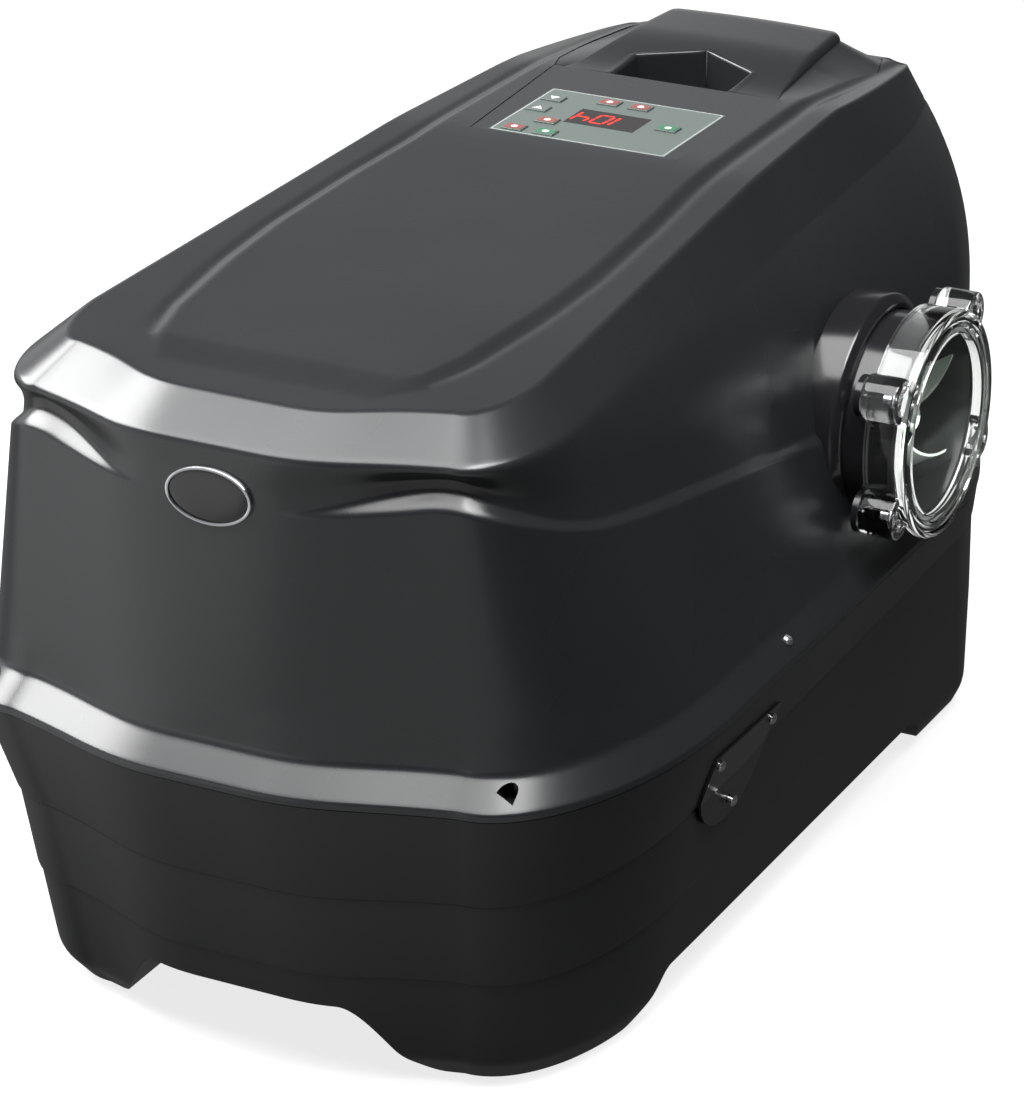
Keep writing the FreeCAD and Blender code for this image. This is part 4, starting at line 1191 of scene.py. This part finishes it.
steel = metal("bright_steel", (0.66, 0.66, 0.67), 0.26, 900.0)
paint(steel, "service_plate_screws", "pump_shaft", "blower_shaft", "heater_tube", "heating_element",
      *screws, *cover_screws)
sheet = metal("zinc_sheet", (0.42, 0.43, 0.45), 0.4, 300.0)
paint(sheet, "motor_bracket", "power_bracket", "motor_rotor")
motor_paint = moulded_plastic("motor_paint", (0.035, 0.045, 0.06), 0.42, 0.2)
paint(motor_paint, "pump_motor", "blower_motor")
rubber = moulded_plastic("black_rubber", (0.012, 0.012, 0.012), 0.78, 0.3)
paint(rubber, "foot_pads", "cover_o_ring", "shaft_seal", "cable_gland", pane_seal)
label_film = moulded_plastic("label_film", (0.060, 0.074, 0.069), 0.3, 0.05)
paint(label_film, "panel_label", *[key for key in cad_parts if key.startswith("button_")])
lens = Finish("display_lens", (0.004, 0.003, 0.003), 0.08)
paint(lens, "display_window")
red_ink = moulded_plastic("red_ink", (0.13, 0.04, 0.034), 0.35, 0.05)
paint(red_ink, *red_prints)
green_ink = moulded_plastic("green_ink", (0.025, 0.095, 0.052), 0.35, 0.05)
paint(green_ink, *green_prints)
white_ink = moulded_plastic("white_ink", (0.34, 0.35, 0.34), 0.35, 0.05)
paint(white_ink, *white_prints)
edge_ink = moulded_plastic("edge_ink", (0.20, 0.21, 0.205), 0.35, 0.05)
paint(edge_ink, label_edge)
lit = Finish("lit_segments", (0.3, 0.01, 0.005), 0.4, Emission_Strength=0.9,
             Emission_Color=(1.0, 0.03, 0.015, 1.0))
paint(lit, *digits)
board_green = moulded_plastic("board_green", (0.01, 0.09, 0.03), 0.4, 0.3)
paint(board_green, "control_board", "power_board")
copper = metal("copper_windings", (0.6, 0.28, 0.13), 0.35, 700.0)
paint(copper, "transformer")
hose = moulded_plastic("hose_plastic", (0.30, 0.32, 0.33), 0.3, 0.05)
paint(hose, "hose_pump_to_heater")
inner_plastic = moulded_plastic("inner_plastic", (0.05, 0.052, 0.056), 0.5, 0.2)
INNER = ("panel_back", "pump_volute", "motor_fan_cowl", "heater_cap_front", "heater_cap_rear",
         "thermal_cutout", "heater_clips", "flow_switch_body", "flow_paddle", "blower_housing", "blower_fan",
         "blower_post", "check_valve_body", "check_valve_flap", "port_nuts", "power_case", "power_lid",
         "terminal_block")
paint(inner_plastic, *INNER, *ports)
print(len(bpy.data.materials), "finishes")

# %% [markdown]
# ## Stage, light and camera
#
# The unit stands on a pale sweep in a white studio. Dark glossy plastic shows its lights more
# than its colour: a tall softbox to the left of the camera and above lays the bright bands on the
# chamfer and the ledge, and these fade to the right because the box ends overhead.

# %% Camera
AZIMUTH, ELEVATION = math.radians(27.194), math.radians(23.658)
LENS_MM = 154.61
CAMERA_MM = (1075.3, -1787.6, 1199.9)
camera_data = bpy.data.cameras.new("camera")
camera_data.lens = LENS_MM
camera_data.clip_end = 30.0
camera = bpy.data.objects.new("camera", camera_data)
camera.location = spot(*CAMERA_MM)
camera.rotation_euler = (math.pi / 2 - ELEVATION, 0.0, AZIMUTH)
bpy.context.scene.collection.objects.link(camera)
bpy.context.scene.camera = camera
print("lens", LENS_MM, "mm")

# %% [markdown]
# Dark gloss is a mirror for the room, so the room is lit on purpose. The floor and the sky look
# white to the camera. What the casing reflects is different: a floor that is bright in front and
# to the left and dark close by and to the right, and a sky that dims to the right.

# %% Floor
FLOOR_HALF = 8.0
floor_mesh = bpy.data.meshes.new("floor")
corners = [(-FLOOR_HALF, -FLOOR_HALF, 0), (FLOOR_HALF, -FLOOR_HALF, 0), (FLOOR_HALF, FLOOR_HALF, 0),
           (-FLOOR_HALF, FLOOR_HALF, 0)]
floor_mesh.from_pydata(corners, [], [(0, 1, 2, 3)])
floor = bpy.data.objects.new("floor", floor_mesh)
bpy.context.scene.collection.objects.link(floor)
floor_finish = Finish("floor_white", (0.17, 0.17, 0.17), 0.9)


along_x, along_y = floor_finish.outputs("ShaderNodeSeparateXYZ", {0: floor_finish.position()}, "X", "Y")
ahead = floor_finish.ramp(along_y, -0.66, -0.14, 0.46, 0.05)
leftward = floor_finish.ramp(along_x, -0.44, -0.10, 1.2, 0.0)
rightward = floor_finish.ramp(along_x, 0.55, 0.90, 1.0, 0.10)
mirrored_floor = floor_finish.mix(ahead * rightward + leftward * ahead,
                                  floor_finish.glow("ShaderNodeEmission", 0.03),
                                  floor_finish.glow("ShaderNodeEmission", 1.25))
lit_floor = Wire(floor_finish, floor_finish.shader.outputs[0])
seen_floor = floor_finish.node("ShaderNodeAddShader", None,
                               {0: lit_floor, 1: floor_finish.glow("ShaderNodeEmission", 0.80)})


def straight_view(graph):
    """True for what the camera sees directly or through clear plastic."""
    seen, through = graph.outputs("ShaderNodeLightPath", None, "Is Camera Ray", "Is Transmission Ray")
    return graph.node("ShaderNodeMath", {"operation": "MAXIMUM"}, {0: seen, 1: through})


floor_mix = floor_finish.mix(straight_view(floor_finish), mirrored_floor, seen_floor)
floor_finish.put(floor_finish.tree.nodes["Material Output"], {"Surface": floor_mix})
paint(floor_finish, floor)

print("floor", 2 * FLOOR_HALF, "m square")

# %% [markdown]
# The sky works the same way. Reflected, it is bright low down on the left and dark elsewhere.

# %% Sky
world = bpy.data.worlds.new("studio")
bpy.context.scene.world = world
world.use_nodes = True
sky = Graph(world.node_tree)
view_way = sky.node("ShaderNodeTexCoord")
way_x, way_z = sky.outputs("ShaderNodeSeparateXYZ", {0: view_way}, "X", "Z")
fade_up = sky.ramp(way_z, 0.18, 0.50, 0.0, 1.0)
fade_right = sky.ramp(way_x, -0.35, 0.15, 1.0, 0.0)
room_light = sky.mix(fade_right * (1.0 - fade_up), sky.glow("ShaderNodeBackground", 0.06),
                     sky.glow("ShaderNodeBackground", 0.75))
sky_mix = sky.mix(straight_view(sky), room_light, sky.glow("ShaderNodeBackground", 1.0))
sky.put(world.node_tree.nodes["World Output"], {"Surface": sky_mix})
bpy.context.scene.view_settings.view_transform = "Standard"
print("sky ready")

# %% [markdown]
# Three softboxes light the casing, each given by the direction it shines from as seen from the
# nose. A small one lights the vanes behind the clear cover.

# %% Lights


def softbox(name, aim, direction, distance, width, height, radiance):
    """A rectangular light, seen from the point it aims at along a direction."""
    data = bpy.data.lights.new(name, "AREA")
    data.shape = "RECTANGLE"
    data.size, data.size_y = width, height
    data.energy = radiance * math.pi * width * height
    lamp = bpy.data.objects.new(name, data)
    way = Vector(direction).normalized()
    across = (Vector((1, 0, 0)) - way * way.x).normalized()
    lamp.location = Vector(aim) + way * distance
    lamp.rotation_euler = Matrix((across, way.cross(across), way)).transposed().to_euler()
    bpy.context.scene.collection.objects.link(lamp)
    print(name, width, "by", height, "m")


nose = spot(0.0, 60.0, 300.0)
softbox("key_left", nose, (-0.78, -0.06, 0.62), 1.9, 1.1, 1.3, 20.0)
softbox("overhead", nose, (-0.02, -0.25, 0.97), 1.9, 2.2, 1.6, 8.0)
softbox("corner_fill", nose, (0.47, -0.04, 0.88), 1.9, 0.9, 1.2, 14.0)
pump_mouth = spot(COVER_X[1] - 9.0, PUMP_Y, PUMP_Z)
softbox("pump_glow", pump_mouth, (1, 0, 0), 0.0, 0.07, 0.07, 6.0)
